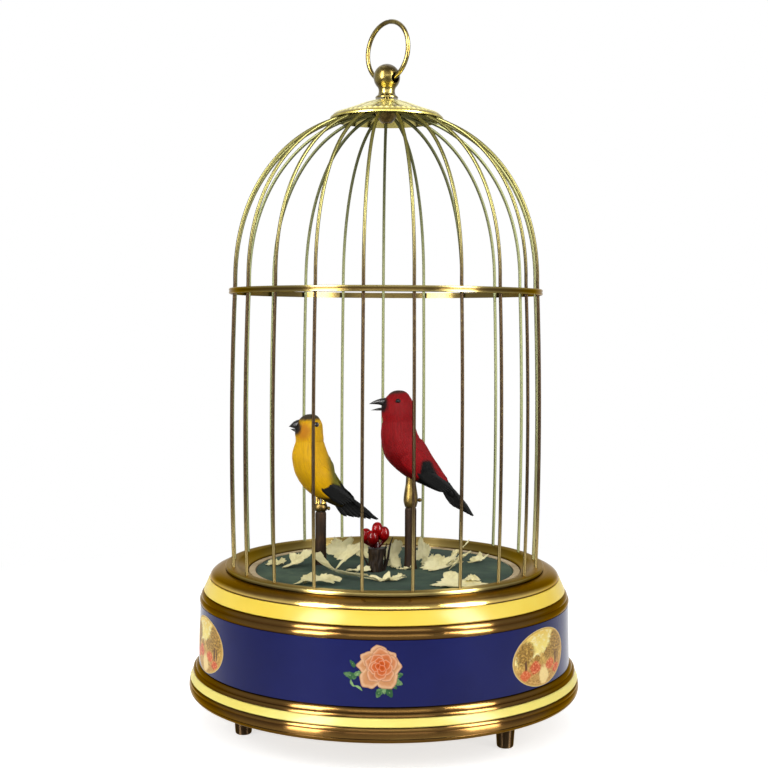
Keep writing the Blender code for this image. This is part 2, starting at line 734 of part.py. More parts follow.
def cage_mid_ring():
    """The band round the outside of the bars where the dome starts."""
    inner = bar_radius(MID_RING_LOW) + BAR_R + SEAT_GAP
    outer = inner + MID_RING_T
    top = MID_RING_LOW + MID_RING_H
    profile = [(outer, top), (outer, MID_RING_LOW), (inner, MID_RING_LOW), (inner, top)]
    return turned("cage_mid_ring", profile, BRASS, CAGE_FACETS)


def bar_radius(z):
    """Radius of a bar's centre line below the dome: it bows out a little and leans in to the band."""
    share = (z - BAR_LOW) / BAR_RISE
    return BAR_CIRCLE_R - BAR_LEAN_IN * share + 4.0 * BAR_BOW * share * (1.0 - share)


def dome_height(radius):
    """Height of a bar's centre line over a radius: a quarter oval, a little fuller than an ellipse."""
    share = 1.0 - (radius / DOME_R) ** DOME_FULLNESS
    return DOME_LOW + DOME_RISE * share ** (1.0 / DOME_FULLNESS)


def bar_points(angle, offset):
    """Centre line of one bar, from the ring up and over; its last point moves sideways by offset."""
    heights = [BAR_LOW + BAR_RISE * i / BAR_STEPS for i in range(BAR_STEPS + 1)]
    points = [(*from_front(bar_radius(z), angle), z) for z in heights]
    last = math.acos(BAR_END_R * 2.0 / DOME_R)
    for i in range(1, DOME_STEPS + 1):
        radius = DOME_R * math.cos(last * i / DOME_STEPS)
        points.append((*from_front(radius, angle), dome_height(radius)))
    middle = angle - math.copysign(math.tau / BAR_COUNT, offset) if offset else angle
    end = from_front(BAR_END_R, middle) + from_front(offset, middle + math.pi / 2)
    points.append((*end, dome_height(BAR_END_R)))
    return points


def bar_group(index):
    """Three neighbouring bars, brazed to each other where they come together under the cap."""
    pitch = math.tau / BAR_COUNT
    middle = FIRST_BAR_ANGLE + pitch * (BARS_IN_GROUP * index + 1)
    name = f"cage_bars_{index + 1}"
    obj = wire(name, bar_points(middle, 0.0), BAR_R, BRASS)
    for side in (-1, 1):
        points = bar_points(middle + side * pitch, side * BAR_END_OFFSET)
        combine(obj, wire(f"{name}_side_{side}", points, BAR_R, None, cutter=True))
    return obj


# Crown

CAP_RIM_Z = dome_height(CAP_R) + BAR_R + 0.32 * MM
CAP_TOP_Z = CAP_RIM_Z + CAP_RISE
HUB_LOW = CAP_RIM_Z - 1.4 * MM
BALL_Z = CAP_TOP_Z + SEAT_GAP + 1.6 * MM + NECK_H + 2.8 * MM
RING_HINGE_Z = BALL_Z - RING_HOLE_BELOW_BALL


def crown_cap():
    """A shallow coned sheet with a turned-down rim over the bars' ends."""
    rise = [(CAP_R * r, CAP_RIM_Z + CAP_RISE * z) for r, z in CAP_LINE]
    bore = SHANK_R + PIVOT_GAP
    profile = [(bore, CAP_TOP_Z)] + rise + [(CAP_R, CAP_RIM_Z + 0.3 * MM), (CAP_R - 0.2 * MM, CAP_RIM_Z)]
    profile += [(r - 0.3 * MM, z - CAP_T) for r, z in reversed(rise)]
    profile += [(bore, CAP_TOP_Z - CAP_T)]
    return turned("crown_cap", profile, BRASS, CROWN_FACETS)


def crown_hub():
    """The hub inside the ring of bar ends, with the nut under it that the finial screws into."""
    bore = SHANK_R + PIVOT_GAP
    top = CAP_TOP_Z - CAP_T - 2 * SEAT_GAP
    neck = HUB_LOW + HUB_NUT_H
    profile = [
        (HUB_R - 1.0 * MM, top),
        (HUB_R, top - 1.0 * MM),
        (HUB_R, neck),
        (HUB_NUT_R, neck),
        (HUB_NUT_R, HUB_LOW),
        (bore, HUB_LOW),
        (bore, top),
    ]
    return turned("crown_hub", profile, DARK_BRASS, 12)


def ring_direction():
    return Vector((math.cos(RING_TURN), math.sin(RING_TURN), 0.0))


def ring_finial():
    """The turned finial: ball, neck, spreading foot and the shank down into the hub."""
    foot_z = CAP_TOP_Z + SEAT_GAP
    profile = [(0.0, BALL_Z + BALL_R)]
    profile += arc((0.0, BALL_Z), BALL_R, BALL_R, 62.0, -47.0, 5)
    profile += [
        (NECK_R - 0.1 * MM, BALL_Z - 5.2 * MM),
        (NECK_R, foot_z + 1.4 * MM),
        (FINIAL_FOOT_R, foot_z + 0.4 * MM),
        (FINIAL_FOOT_R, foot_z),
        (SHANK_R, foot_z),
        (SHANK_R, HUB_LOW + 0.4 * MM),
        (0.0, HUB_LOW + 0.4 * MM),
    ]
    obj = turned("ring_finial", profile, BRASS, SMALL_FACETS, loop=False)
    reach = BALL_R + 3.0 * MM
    centre = Vector((0.0, 0.0, RING_HINGE_Z))
    ends = [centre + ring_direction() * side * reach for side in (-1, 1)]
    cut(obj, wire("ring_hole", ends, RING_HOLE_R, None, 3, cutter=True))
    return obj


def hanging_ring():
    """The loose ring; its parent stands on the axis that it swings about, along the finial's hole."""
    hinge = bpy.data.objects.new("ring_hinge", None)
    PARTS.objects.link(hinge)
    hinge.location = (0.0, 0.0, RING_HINGE_Z)
    hinge.rotation_euler = (RING_LEAN, 0.0, RING_TURN)
    shape = bmesh.new()
    section = circle((RING_R, 0.0), RING_WIRE_R, WIRE_FACETS)
    verts = [shape.verts.new((p.x, p.y, 0.0)) for p in section]
    for i in range(WIRE_FACETS):
        shape.edges.new((verts[i], verts[(i + 1) % WIRE_FACETS]))
    spun = bmesh.ops.spin(
        shape, geom=shape.edges[:], cent=(0, 0, 0), axis=(0, 1, 0), steps=22, angle=math.tau, use_merge=True
    )
    del spun
    bmesh.ops.remove_doubles(shape, verts=shape.verts, dist=0.00001)
    bmesh.ops.recalc_face_normals(shape, faces=shape.faces)
    mesh = bpy.data.meshes.new("hanging_ring")
    shape.to_mesh(mesh)
    shape.free()
    mesh.shade_smooth()
    obj = place("hanging_ring", mesh, BRASS)
    obj.parent = hinge
    obj.location = (0.0, 0.0, RING_R - RING_HINGE_ABOVE_WIRE)
    return obj


# Birds

@dataclass
class Bird:
    """One bird. Places are (x, z) from the neck joint, in the plane that it faces along, -X."""

    name: str
    plumage: object
    neck: Vector
    neck_r: float
    body: tuple
    head: tuple
    crown: tuple
    upper_beak: tuple
    upper_tip: tuple
    lower_beak: tuple
    lower_tip: tuple
    mouth: tuple
    tail_length: float
    tail_lean: float
    wing: tuple


RED_BIRD = Bird(
    name="red_bird",
    plumage=RED,
    neck=Vector((5.2 * MM, 0.0, 122.5 * MM)),
    neck_r=6.2 * MM,
    body=(
        (0.3, -4.0, 0.0, 7.1, 6.8),
        (1.1, -8.5, 12.0, 7.8, 7.3),
        (3.1, -12.2, 27.0, 8.3, 7.4),
        (8.1, -17.9, 38.0, 7.0, 6.4),
        (13.8, -22.6, 45.0, 4.9, 4.7),
        (18.4, -26.6, 47.0, 2.9, 3.4),
    ),
    head=((-0.1, 3.5, 6.7, 6.4), (-0.1, 7.5, 6.0, 5.7), (0.2, 10.6, 3.9, 3.7)),
    crown=(0.3, 12.2),
    upper_beak=((-4.0, 6.8, 2.1, 2.2), (-7.8, 7.3, 1.2, 1.2)),
    upper_tip=(-11.8, 6.6),
    lower_beak=((-4.0, 4.9, 0.8, 1.2), (-7.8, 4.6, 0.6, 0.8)),
    lower_tip=(-11.1, 4.1),
    mouth=(-8.0, -2.6, 3.3, 6.1),
    tail_length=17.2 * MM,
    tail_lean=math.radians(45.0),
    wing=(
        (1.6, -10.0, 30.0, 3.0),
        (6.2, -15.0, 38.0, 4.9),
        (12.2, -20.4, 43.0, 4.4),
        (18.2, -25.8, 45.0, 2.9),
    ),
)

YELLOW_BIRD = Bird(
    name="yellow_bird",
    plumage=YELLOW,
    neck=Vector((-30.9 * MM, 8.0 * MM, 113.5 * MM)),
    neck_r=5.6 * MM,
    body=(
        (0.2, -5.0, 0.0, 7.2, 6.5),
        (1.0, -9.0, 10.0, 7.9, 7.1),
        (2.6, -13.0, 22.0, 7.9, 7.1),
        (5.3, -17.8, 34.0, 6.5, 6.2),
        (9.3, -21.8, 46.0, 4.3, 4.5),
        (13.4, -25.2, 58.0, 2.5, 3.2),
    ),
    head=((-0.1, 3.3, 6.0, 5.8), (-0.1, 6.8, 5.3, 5.1), (0.2, 9.4, 3.5, 3.4)),
    crown=(0.4, 10.9),
    upper_beak=((-3.6, 6.4, 2.1, 2.2), (-6.4, 6.3, 1.3, 1.4)),
    upper_tip=(-8.5, 5.7),
    lower_beak=((-3.7, 3.9, 0.8, 1.2), (-6.2, 4.2, 0.6, 0.8)),
    lower_tip=(-7.9, 4.8),
    mouth=(-7.4, -2.4, 2.7, 5.1),
    tail_length=16.5 * MM,
    tail_lean=math.radians(62.8),
    wing=(
        (2.0, -9.5, 18.0, 3.0),
        (5.0, -14.5, 30.0, 4.7),
        (8.8, -19.0, 42.0, 4.2),
        (13.6, -23.2, 55.0, 2.6),
    ),
)

BIRD_SIDES = 12
WING_SIDES = 8
BEAK_SIDES = 6


def at_neck(bird, x, z, y=0.0):
    return bird.neck + Vector((x * MM, y * MM, z * MM))


def joint_empty(name, location):
    """An empty on a joint's axis, to carry the piece that turns there."""
    empty = bpy.data.objects.new(name, None)
    PARTS.objects.link(empty)
    empty.location = location
    return empty


def hang_on(obj, empty):
    """Put an object under an empty and keep it where it is."""
    obj.parent = empty
    obj.matrix_parent_inverse = Matrix.Translation(-Vector(empty.location))


def bird_wing(bird, side):
    """A folded wing along the flank, as a flat tapered form that reaches towards the tail."""
    rings = []
    for i, (x, z, lean, half) in enumerate(bird.wing):
        flank = (5.4, 5.9, 4.9, 4.3)[i] * (1.0 if bird is RED_BIRD else 0.96)
        centre = at_neck(bird, x, z, side * flank)
        rings.append(oval(centre, math.radians(lean), half * MM, (1.3, 1.5, 1.1, 0.7)[i] * MM, WING_SIDES))
    first_x, first_z = bird.wing[0][:2]
    last_x, last_z, lean, _ = bird.wing[-1]
    reach = Vector((math.sin(math.radians(lean)), 0.0, -math.cos(math.radians(lean)))) * 5.2 * MM
    start = at_neck(bird, first_x - 0.9, first_z + 2.6, side * 5.0)
    end = at_neck(bird, last_x, last_z, side * 4.1) + reach
    return skin(f"{bird.name}_wing_{side}", rings, None, start, end, cutter=True)


def bird_body(bird, perch_xy, clip_top, socket_r):
    """Breast to rump, open at the neck for the head's pin and below for what it is carried on."""
    neck_ring = oval(bird.neck, 0.0, bird.neck_r, bird.neck_r, BIRD_SIDES)
    rings = [neck_ring]
    for x, z, lean, thick, wide in bird.body:
        rings.append(oval(at_neck(bird, x, z), math.radians(lean), thick * MM, wide * MM, BIRD_SIDES))
    obj = skin(f"{bird.name}_body", rings, bird.plumage)
    for side in (-1, 1):
        combine(obj, bird_wing(bird, side))
    pin_low = bird.neck.z - NECK_PIN_L - SEAT_GAP
    pin_xy = (bird.neck.x, bird.neck.y)
    cut(obj, rod("neck_socket", NECK_PIN_R + PIVOT_GAP, pin_low, bird.neck.z + 1.0 * MM, pin_xy, None, 8, cutter=True))
    socket_low = bird.neck.z - 40.0 * MM
    cut(obj, rod("perch_socket", socket_r, socket_low, clip_top + SEAT_GAP, perch_xy, None, 12, cutter=True))
    cut(obj, tail_slot(bird))
    return obj


def tail_root(bird):
    """Where the tail turns: just inside the end of the body."""
    x, z, lean, _, _ = bird.body[-1]
    inward = Vector((-math.sin(math.radians(lean)), 0.0, math.cos(math.radians(lean)))) * 1.0 * MM
    return at_neck(bird, x, z) + inward


def tail_slot(bird):
    """The notch in the rump that the tail's tongue turns in."""
    half = TAIL_TONGUE_R + 1.2 * MM
    reach = half + 1.0 * MM
    obj = block("tail_notch", (-reach, -TAIL_TONGUE_R - MOUTH_GAP, -4.0 * MM), (reach, TAIL_TONGUE_R + MOUTH_GAP, half),
                cutter=True)
    obj.location = tail_root(bird)
    obj.rotation_euler = (0.0, -bird.tail_lean, 0.0)
    return obj


def bird_tail(bird):
    """A flat tapered fan of tail feathers on a tongue that turns in the rump."""
    root = tail_root(bird)
    down = Vector((math.sin(bird.tail_lean), 0.0, -math.cos(bird.tail_lean)))
    stations = ((0.16, 1.5, 2.6), (0.45, 1.3, 3.3), (0.75, 0.9, 2.9), (0.96, 0.5, 1.7))
    rings = []
    for share, thick, wide in stations:
        centre = root + down * bird.tail_length * share
        rings.append(oval(centre, bird.tail_lean, thick * MM, wide * MM, WING_SIDES))
    obj = skin(f"{bird.name}_tail", rings, BLACK, end=root + down * bird.tail_length)
    tongue_l = bird.tail_length * stations[0][0] + 1.0 * MM
    tongue = block("tail_tongue", (-TAIL_TONGUE_R, -TAIL_TONGUE_R, -tongue_l), (TAIL_TONGUE_R, TAIL_TONGUE_R, 0.6 * MM),
                   cutter=True)
    tongue.location = root
    tongue.rotation_euler = (0.0, -bird.tail_lean, 0.0)
    combine(obj, tongue)
    hang_on(obj, joint_empty(f"{bird.name}_tail_joint", root))
    return obj


def bird_head(bird):
    """Head and upper beak with the neck pin under it and the mouth slot for the lower beak."""
    base = bird.neck + Vector((0.0, 0.0, NECK_GAP))
    rings = [oval(base, 0.0, bird.neck_r, bird.neck_r, BIRD_SIDES)]
    for x, z, thick, wide in bird.head:
        rings.append(oval(at_neck(bird, x, z), 0.0, thick * MM, wide * MM, BIRD_SIDES))
    obj = skin(f"{bird.name}_head", rings, bird.plumage, end=at_neck(bird, *bird.crown))
    combine(obj, beak_half(bird, "upper_beak", bird.upper_beak, bird.upper_tip, cutter=True))
    pin = rod("neck_pin", NECK_PIN_R, bird.neck.z - NECK_PIN_L, bird.neck.z + 1.5 * MM, (bird.neck.x, bird.neck.y),
              cutter=True)
    combine(obj, pin)
    x_low, x_high, z_low, z_high = bird.mouth
    half = bird.lower_beak[0][3] + MOUTH_GAP / MM
    low = at_neck(bird, x_low, z_low, -half)
    high = at_neck(bird, x_high, z_high, half)
    cut(obj, block("mouth_slot", low, high, cutter=True))
    return obj


def beak_half(bird, part, stations, tip, cutter=False):
    """One half of the beak: a short tapered cone that lies along X."""
    rings = []
    for x, z, thick, wide in stations:
        rings.append(oval(at_neck(bird, x, z), math.pi / 2, thick * MM, wide * MM, BEAK_SIDES))
    return skin(f"{bird.name}_{part}", rings, BLACK, end=at_neck(bird, *tip), cutter=cutter)


def lower_beak(bird):
    obj = beak_half(bird, "lower_beak", bird.lower_beak, bird.lower_tip)
    x, z = bird.lower_beak[0][:2]
    hang_on(obj, joint_empty(f"{bird.name}_beak_joint", at_neck(bird, x, z)))
    return obj


def perch_post(name, xy, height, radius):
    """A hollow post with a spreading root, which the spindle turns in."""
    low = FLOOR_TOP + SEAT_GAP
    top = low + height
    profile = [
        (radius - 0.3 * MM, top),
        (radius, top - 0.6 * MM),
        (radius, low + 5.0 * MM),
        (radius + 0.9 * MM, low),
        (BORE_R, low),
        (BORE_R, top),
    ]
    obj = turned(name, profile, BARK, 12)
    obj.location = (xy[0], xy[1], 0.0)
    return obj


def clip_knob(xy, z, reach):
    """The small screw at the side of a clip."""
    start = Vector((xy[0] + 1.6 * MM, xy[1], z))
    end = Vector((xy[0] + reach, xy[1], z))
    return wire("clip_knob", [start, end], 0.8 * MM, None, 2, cutter=True)


def red_perch_clip():
    """A swelling brass ferrule from the post up into the bird."""
    low = FLOOR_TOP + 2 * SEAT_GAP + RED_PERCH_H
    top = low + RED_CLIP_H
    profile = [
        (1.7 * MM, top),
        (1.7 * MM, top - 4.0 * MM),
        (2.3 * MM, low + 6.2 * MM),
        (2.9 * MM, low + 3.6 * MM),
        (2.9 * MM, low + 2.0 * MM),
        (2.2 * MM, low),
        (BORE_R, low),
        (BORE_R, top),
    ]
    obj = turned("red_perch_clip", profile, BRASS, 12)
    obj.location = (RED_PERCH_XY.x, RED_PERCH_XY.y, 0.0)
    combine(obj, clip_knob(RED_PERCH_XY, low + 2.8 * MM, 4.4 * MM))
    return obj, top


def yellow_perch_clip():
    """A brass collar on the post with the two leg tubes that the bird stands on."""
    low = FLOOR_TOP + 2 * SEAT_GAP + YELLOW_PERCH_H
    top = low + YELLOW_CLIP_H
    collar_top = low + 2.0 * MM
    profile = [(2.7 * MM, collar_top), (2.7 * MM, low), (BORE_R, low), (BORE_R, collar_top)]
    obj = turned("yellow_perch_clip", profile, BRASS, 12)
    obj.location = (YELLOW_PERCH_XY.x, YELLOW_PERCH_XY.y, 0.0)
    for side in (-1, 1):
        xy = YELLOW_PERCH_XY + Vector((side * (LEG_SPREAD + 0.2 * MM), 0.0))
        combine(obj, rod(f"leg_{side}", LEG_R, low + 0.8 * MM, top, xy, cutter=True))
    combine(obj, clip_knob(YELLOW_PERCH_XY, low + 1.0 * MM, 3.9 * MM))
    return obj, top


def head_spindle(name, xy, top, crank_z, crank_angle):
    """The wire up the perch post, with the crank under the floor that the lever moves."""
    obj = rod(name, SPINDLE_R, UPPER_FRAME + 0.3 * MM, top, xy, STEEL)
    pin_xy = Vector(xy) + polar(CRANK_ARM, crank_angle)
    arm = plate(f"{name}_crank", [slot(xy, pin_xy, 1.3 * MM)], crank_z, crank_z + LEVER_T, None, cutter=True)
    combine(obj, arm)
    pin_low = crank_z - LEVER_T - 2 * SEAT_GAP
    combine(obj, rod(f"{name}_pin", CRANK_PIN_R, pin_low, crank_z + 0.5 * MM, pin_xy, cutter=True))
    return obj


# Planting

def berry_stump():
    base = FLOOR_TOP + SEAT_GAP
    rings = []
    for share, radius, skew in ((0.0, 1.25, 0.0), (0.25, 1.0, 0.1), (0.7, 0.92, 0.35), (1.0, 0.98, 0.3)):
        centre = Vector((STUMP_XY.x + skew * MM, STUMP_XY.y, base + STUMP_H * share))
        radii = [STUMP_R * radius * (1.0 + 0.08 * math.sin(3 * k + 2 * share)) for k in range(9)]
        rings.append([centre + Vector((*polar(r, math.tau * k / 9), 0.0)) for k, r in enumerate(radii)])
    return skin("berry_stump", rings, BARK)


BERRY_PLACES = ((-4.1, 0.3, 4.4), (0.4, -1.0, 7.1), (3.0, -0.3, 5.3), (0.3, 2.4, 5.0), (-1.5, -2.2, 4.0))


def berry(index, centre):
    shape = bmesh.new()
    bmesh.ops.create_icosphere(shape, subdivisions=1, radius=BERRY_R)
    bmesh.ops.subdivide_edges(shape, edges=shape.edges[:], cuts=1, use_grid_fill=True)
    for vert in shape.verts:
        vert.co = vert.co.normalized() * BERRY_R
        vert.co.z *= BERRY_LONG
    turn = Matrix.Rotation(0.7 * index, 4, "Z")
    mesh = bpy.data.meshes.new(f"berry_{index}")
    shape.to_mesh(mesh)
    shape.free()
    mesh.transform(Matrix.Translation(centre) @ turn)
    mesh.shade_smooth()
    return place(f"berry_{index}", mesh, None, cutter=True)


def berry_cluster():
    """Lacquered berries round one short stem that stands on the stump."""
    low = FLOOR_TOP + SEAT_GAP + STUMP_H + SEAT_GAP
    xy = STUMP_XY + Vector((0.3 * MM, 0.0))
    obj = rod("berry_cluster", 1.5 * MM, low, low + 5.5 * MM, xy, BERRY)
    for i, (x, y, z) in enumerate(BERRY_PLACES):
        combine(obj, berry(i, Vector((xy.x + x * MM, xy.y + y * MM, low + z * MM))))
    return obj


SCRAPS = (
    (-24.0, -19.5, 7.5, 3.4, 0.75, 0.04),
    (-15.5, -12.5, 7.0, 3.6, 0.55, -0.05),
    (-11.8, -4.3, 7.0, 3.2, 1.25, 0.04),
    (-6.0, 2.5, 7.0, 3.2, 0.35, -0.04),
    (2.5, 7.0, 6.5, 3.2, 0.55, 0.05),
    (11.5, 9.0, 7.0, 3.2, -0.10, -0.04),
    (19.5, 5.0, 7.0, 3.4, -0.75, 0.05),
    (23.5, -3.0, 7.0, 3.6, -1.35, -0.05),
    (25.5, -12.0, 7.5, 4.0, 1.2, 0.04),
    (-18.5, -21.5, 6.0, 3.4, 2.4, 0.42),
    (6.5, 10.0, 6.0, 3.0, -2.4, 0.40),
    (29.5, -7.0, 6.5, 3.4, 0.2, -0.36),
)


def scrap(index, x, y, length, width, turn, tilt):
    """One torn scrap: a ragged oval plate, a little tilted."""
    count = 9
    loop = []
    for k in range(count):
        angle = math.tau * k / count
        ragged = 1.0 + 0.18 * math.sin(5 * angle + 1.7 * index) + 0.1 * math.cos(3 * angle - index)
        loop.append(Vector((length * ragged * math.cos(angle), width * ragged * math.sin(angle))) * MM)
    obj = plate(f"scrap_{index}", [loop], -SCRAP_T / 2, SCRAP_T / 2, PALE)
    height = FLOOR_TOP + SEAT_GAP + SCRAP_T / 2 + abs(math.sin(tilt)) * length * MM * 1.25
    obj.location = (x * MM, y * MM, height)
    obj.rotation_euler = (0.0, tilt, turn)
    return obj


def leaf_scraps():
    """Torn scraps stuck to each other in a loose wreath on the floor."""
    first, *others = [scrap(i, *values) for i, values in enumerate(SCRAPS)]
    first.name = "leaf_scraps"
    for other in others:
        combine(first, other)
    return first


# Movement

def movement_lower_plate():
    """The lower frame plate with its riveted pillars, stands, holes and the click's stud."""
    loops = [rounded_box(-50.0 * MM, 62.0 * MM, -42.0 * MM, 37.0 * MM, 12.0 * MM)]
    loops.append(circle(BARREL_XY, WINDING_R + PIVOT_GAP, SMALL_FACETS))
    loops += [circle(xy, ARBOR_R + PIVOT_GAP, WIRE_FACETS) for xy in (SECOND_XY, THIRD_XY, FLY_XY, CAM_XY)]
    loops.append(stop_wire_slot())
    obj = plate("movement_lower_plate", loops, LOWER_FRAME, LOWER_FRAME_TOP, BRASS)
    for i, xy in enumerate(PILLAR_XY):
        combine(obj, rod(f"pillar_{i}", PILLAR_R, LOWER_FRAME + 0.5 * MM, UPPER_FRAME - SEAT_GAP, xy, cutter=True))
    for i, xy in enumerate(STAND_XY):
        combine(obj, rod(f"stand_{i}", 3.0 * MM, PLATE_TOP + SEAT_GAP, LOWER_FRAME + 0.5 * MM, xy, cutter=True))
    stud_low = PLATE_TOP + SEAT_GAP
    combine(obj, hanging_stud("click_stud", BARREL_XY + CLICK_PIVOT, stud_low, LOWER_FRAME))
    return obj


def lever_stud(name, xy, lever_z):
    """A shouldered stud that carries a lever above the upper plate."""
    shoulder = lever_z - SEAT_GAP
    head = lever_z + LEVER_T + SEAT_GAP
    profile = [
        (0.0, head + 0.8 * MM),
        (STUD_HEAD_R, head + 0.8 * MM),
        (STUD_HEAD_R, head),
        (STUD_R, head),
        (STUD_R, shoulder),
        (STUD_HEAD_R, shoulder),
        (STUD_HEAD_R, UPPER_FRAME + 0.5 * MM),
        (0.0, UPPER_FRAME + 0.5 * MM),
    ]
    obj = turned(name, profile, None, ARBOR_FACETS, loop=False, cutter=True)
    obj.location = (xy[0], xy[1], 0.0)
    return obj


def movement_upper_plate():
    loops = [rounded_box(-45.0 * MM, 43.0 * MM, -36.0 * MM, 36.0 * MM, 9.0 * MM)]
    arbors = (BARREL_XY, SECOND_XY, THIRD_XY, FLY_XY, CAM_XY)
    loops += [circle(xy, ARBOR_R + PIVOT_GAP, WIRE_FACETS) for xy in arbors]
    loops += [circle(xy, SPINDLE_R + 0.4 * MM, WIRE_FACETS) for xy in (RED_PERCH_XY, YELLOW_PERCH_XY)]
    obj = plate("movement_upper_plate", loops, UPPER_FRAME, UPPER_FRAME_TOP, BRASS)
    combine(obj, lever_stud("red_lever_stud", RED_LEVER_XY, RED_LEVER_Z))
    combine(obj, lever_stud("yellow_lever_stud", YELLOW_LEVER_XY, YELLOW_LEVER_Z))
    return obj


def wheel_on_arbor(name, xy, wheel, wheel_z, pinion, pinion_z, mat=BRASS, top=None):
    """A wheel with its pinion on one arbor that turns in both frame plates."""
    obj = plate(name, [wheel], wheel_z, wheel_z + WHEEL_T, mat)
    arbor = rod(f"{name}_arbor", ARBOR_R, LOWER_FRAME + 0.3 * MM, top or UPPER_FRAME_TOP - 0.2 * MM, (0, 0), cutter=True)
    arbor.location = (xy[0], xy[1], 0.0)
    arbor.rotation_euler = (0.0, 0.0, 0.17)
    combine(obj, arbor)
    obj.location = (xy[0], xy[1], 0.0)
    if pinion:
        leaf = plate(f"{name}_pinion", [pinion], pinion_z, pinion_z + PINION_FACE, None, cutter=True)
        leaf.location = (xy[0], xy[1], 0.0)
        combine(obj, leaf)
    return obj


# Tooth phases: where two wheels meet, one shows a tooth and the other a gap
GREAT_PHASE = SECOND_DIRECTION
SECOND_PINION_PHASE = SECOND_DIRECTION + math.pi + math.pi / PINION_TEETH
THIRD_PINION_PHASE = THIRD_DIRECTION + math.pi + math.pi / PINION_TEETH
FLY_PINION_PHASE = FLY_DIRECTION + math.pi + math.pi / PINION_TEETH
GREAT_TOOTH_AT_CAM = ((CAM_DIRECTION - GREAT_PHASE) / (math.tau / GREAT_TEETH)) % 1.0
CAM_PHASE = CAM_DIRECTION + math.pi + math.tau / CAM_TEETH * (0.5 + GREAT_TOOTH_AT_CAM)


def spring_barrel():
    """The drum that holds the mainspring, with the great wheel's teeth round its lower edge."""
    bore = WINDING_R + PIVOT_GAP + 0.1 * MM
    top = BARREL_LOW + BARREL_H
    inner = BARREL_R - BARREL_WALL
    profile = [
        (bore, top),
        (BARREL_R, top),
        (BARREL_R, BARREL_LOW),
        (bore, BARREL_LOW),
        (bore, BARREL_LOW + BARREL_FLOOR),
        (inner, BARREL_LOW + BARREL_FLOOR),
        (inner, top - BARREL_WALL),
        (bore, top - BARREL_WALL),
    ]
    obj = turned("spring_barrel", profile, BRASS, 20)
    obj.location = (*BARREL_XY, 0.0)
    loops = [gear(GREAT_TEETH, BARREL_MODULE, GREAT_PHASE), circle((0, 0), inner - 1.0 * MM, 20)]
    teeth = plate("great_wheel_teeth", loops, GREAT_WHEEL_Z, GREAT_WHEEL_Z + WHEEL_T, None, cutter=True)
    teeth.location = (*BARREL_XY, 0.0)
    combine(obj, teeth)
    return obj


def mainspring():
    """A flat spiral strip that fills the barrel."""
    inner = WINDING_R + 0.9 * MM
    outer = BARREL_R - BARREL_WALL - 0.6 * MM
    count = SPRING_TURNS * SPRING_STEPS
    sides = []
    for offset in (SPRING_T / 2, -SPRING_T / 2):
        turns = ((i / count) for i in range(count + 1))
        sides.append([polar(inner + (outer - inner) * s + offset, math.tau * SPRING_TURNS * s) for s in turns])
    low = BARREL_LOW + BARREL_FLOOR + SEAT_GAP
    high = BARREL_LOW + BARREL_H - BARREL_WALL - SEAT_GAP
    obj = plate("mainspring", [sides[0] + sides[1][::-1]], low, high, STEEL)
    obj.location = (*BARREL_XY, 0.0)
    return obj


def ratchet_outline():
    step = math.tau / RATCHET_TEETH
    points = []
    for tooth in range(RATCHET_TEETH):
        points.append(polar(RATCHET_R, tooth * step))
        points.append(polar(RATCHET_R - 1.1 * MM, tooth * step + 0.12 * step))
    return points


def winding_arbor():
    """The square-shouldered arbor that the key turns, with its ratchet wheel."""
    shoulder = BARREL_LOW + BARREL_H + SEAT_GAP
    profile = [
        (0.0, UPPER_FRAME_TOP - 0.2 * MM),
        (ARBOR_R, UPPER_FRAME_TOP - 0.2 * MM),
        (ARBOR_R, shoulder + 1.0 * MM),
        (WINDING_R, shoulder),
        (WINDING_R, KEY_CLEAR_OF_TABLE + 2.2 * MM + SEAT_GAP),
        (0.0, KEY_CLEAR_OF_TABLE + 2.2 * MM + SEAT_GAP),
    ]
    obj = turned("winding_arbor", profile, STEEL, SMALL_FACETS, loop=False)
    obj.location = (*BARREL_XY, 0.0)
    low = PLATE_TOP + RATCHET_UP
    ratchet = plate("ratchet_wheel", [ratchet_outline()], low, low + RATCHET_T, None, cutter=True)
    ratchet.location = (*BARREL_XY, 0.0)
    combine(obj, ratchet)
    return obj


def winding_key():
    """A wing key: a bored hub with two rounded wings."""
    bore = WINDING_R + PIVOT_GAP
    low = KEY_CLEAR_OF_TABLE
    top = low + KEY_H
    profile = [
        (0.0, low + 2.2 * MM),
        (bore, low + 2.2 * MM),
        (bore, top),
        (KEY_HUB_R, top),
        (KEY_HUB_R, low + 0.7 * MM),
        (KEY_HUB_R - 0.7 * MM, low),
        (0.0, low),
    ]
    obj = turned("winding_key", profile, DARK_BRASS, SMALL_FACETS, loop=False)
    obj.location = (*BARREL_XY, 0.0)
    middle = low + KEY_H * 0.45
    half = KEY_H * 0.42
    for side in (-1, 1):
        inner = Vector((side * (KEY_HUB_R - 0.9 * MM), middle))
        outer = Vector((side * (KEY_WING_REACH - half), middle))
        lobe = plate(f"key_wing_{side}", [slot(inner, outer, half, 5)], -KEY_WING_T / 2, KEY_WING_T / 2, cutter=True)
        lobe.rotation_euler = (math.pi / 2, 0.0, 0.0)
        lobe.location = (*BARREL_XY, 0.0)
        near = block(f"key_trim_{side}", (-bore - 0.6 * MM, -3.0 * MM, low - 1.0 * MM),
                     (bore + 0.6 * MM, 3.0 * MM, top + 1.0 * MM), cutter=True)
        near.location = (*BARREL_XY, 0.0)
        cut(lobe, near)
        combine(obj, lobe)
    return obj


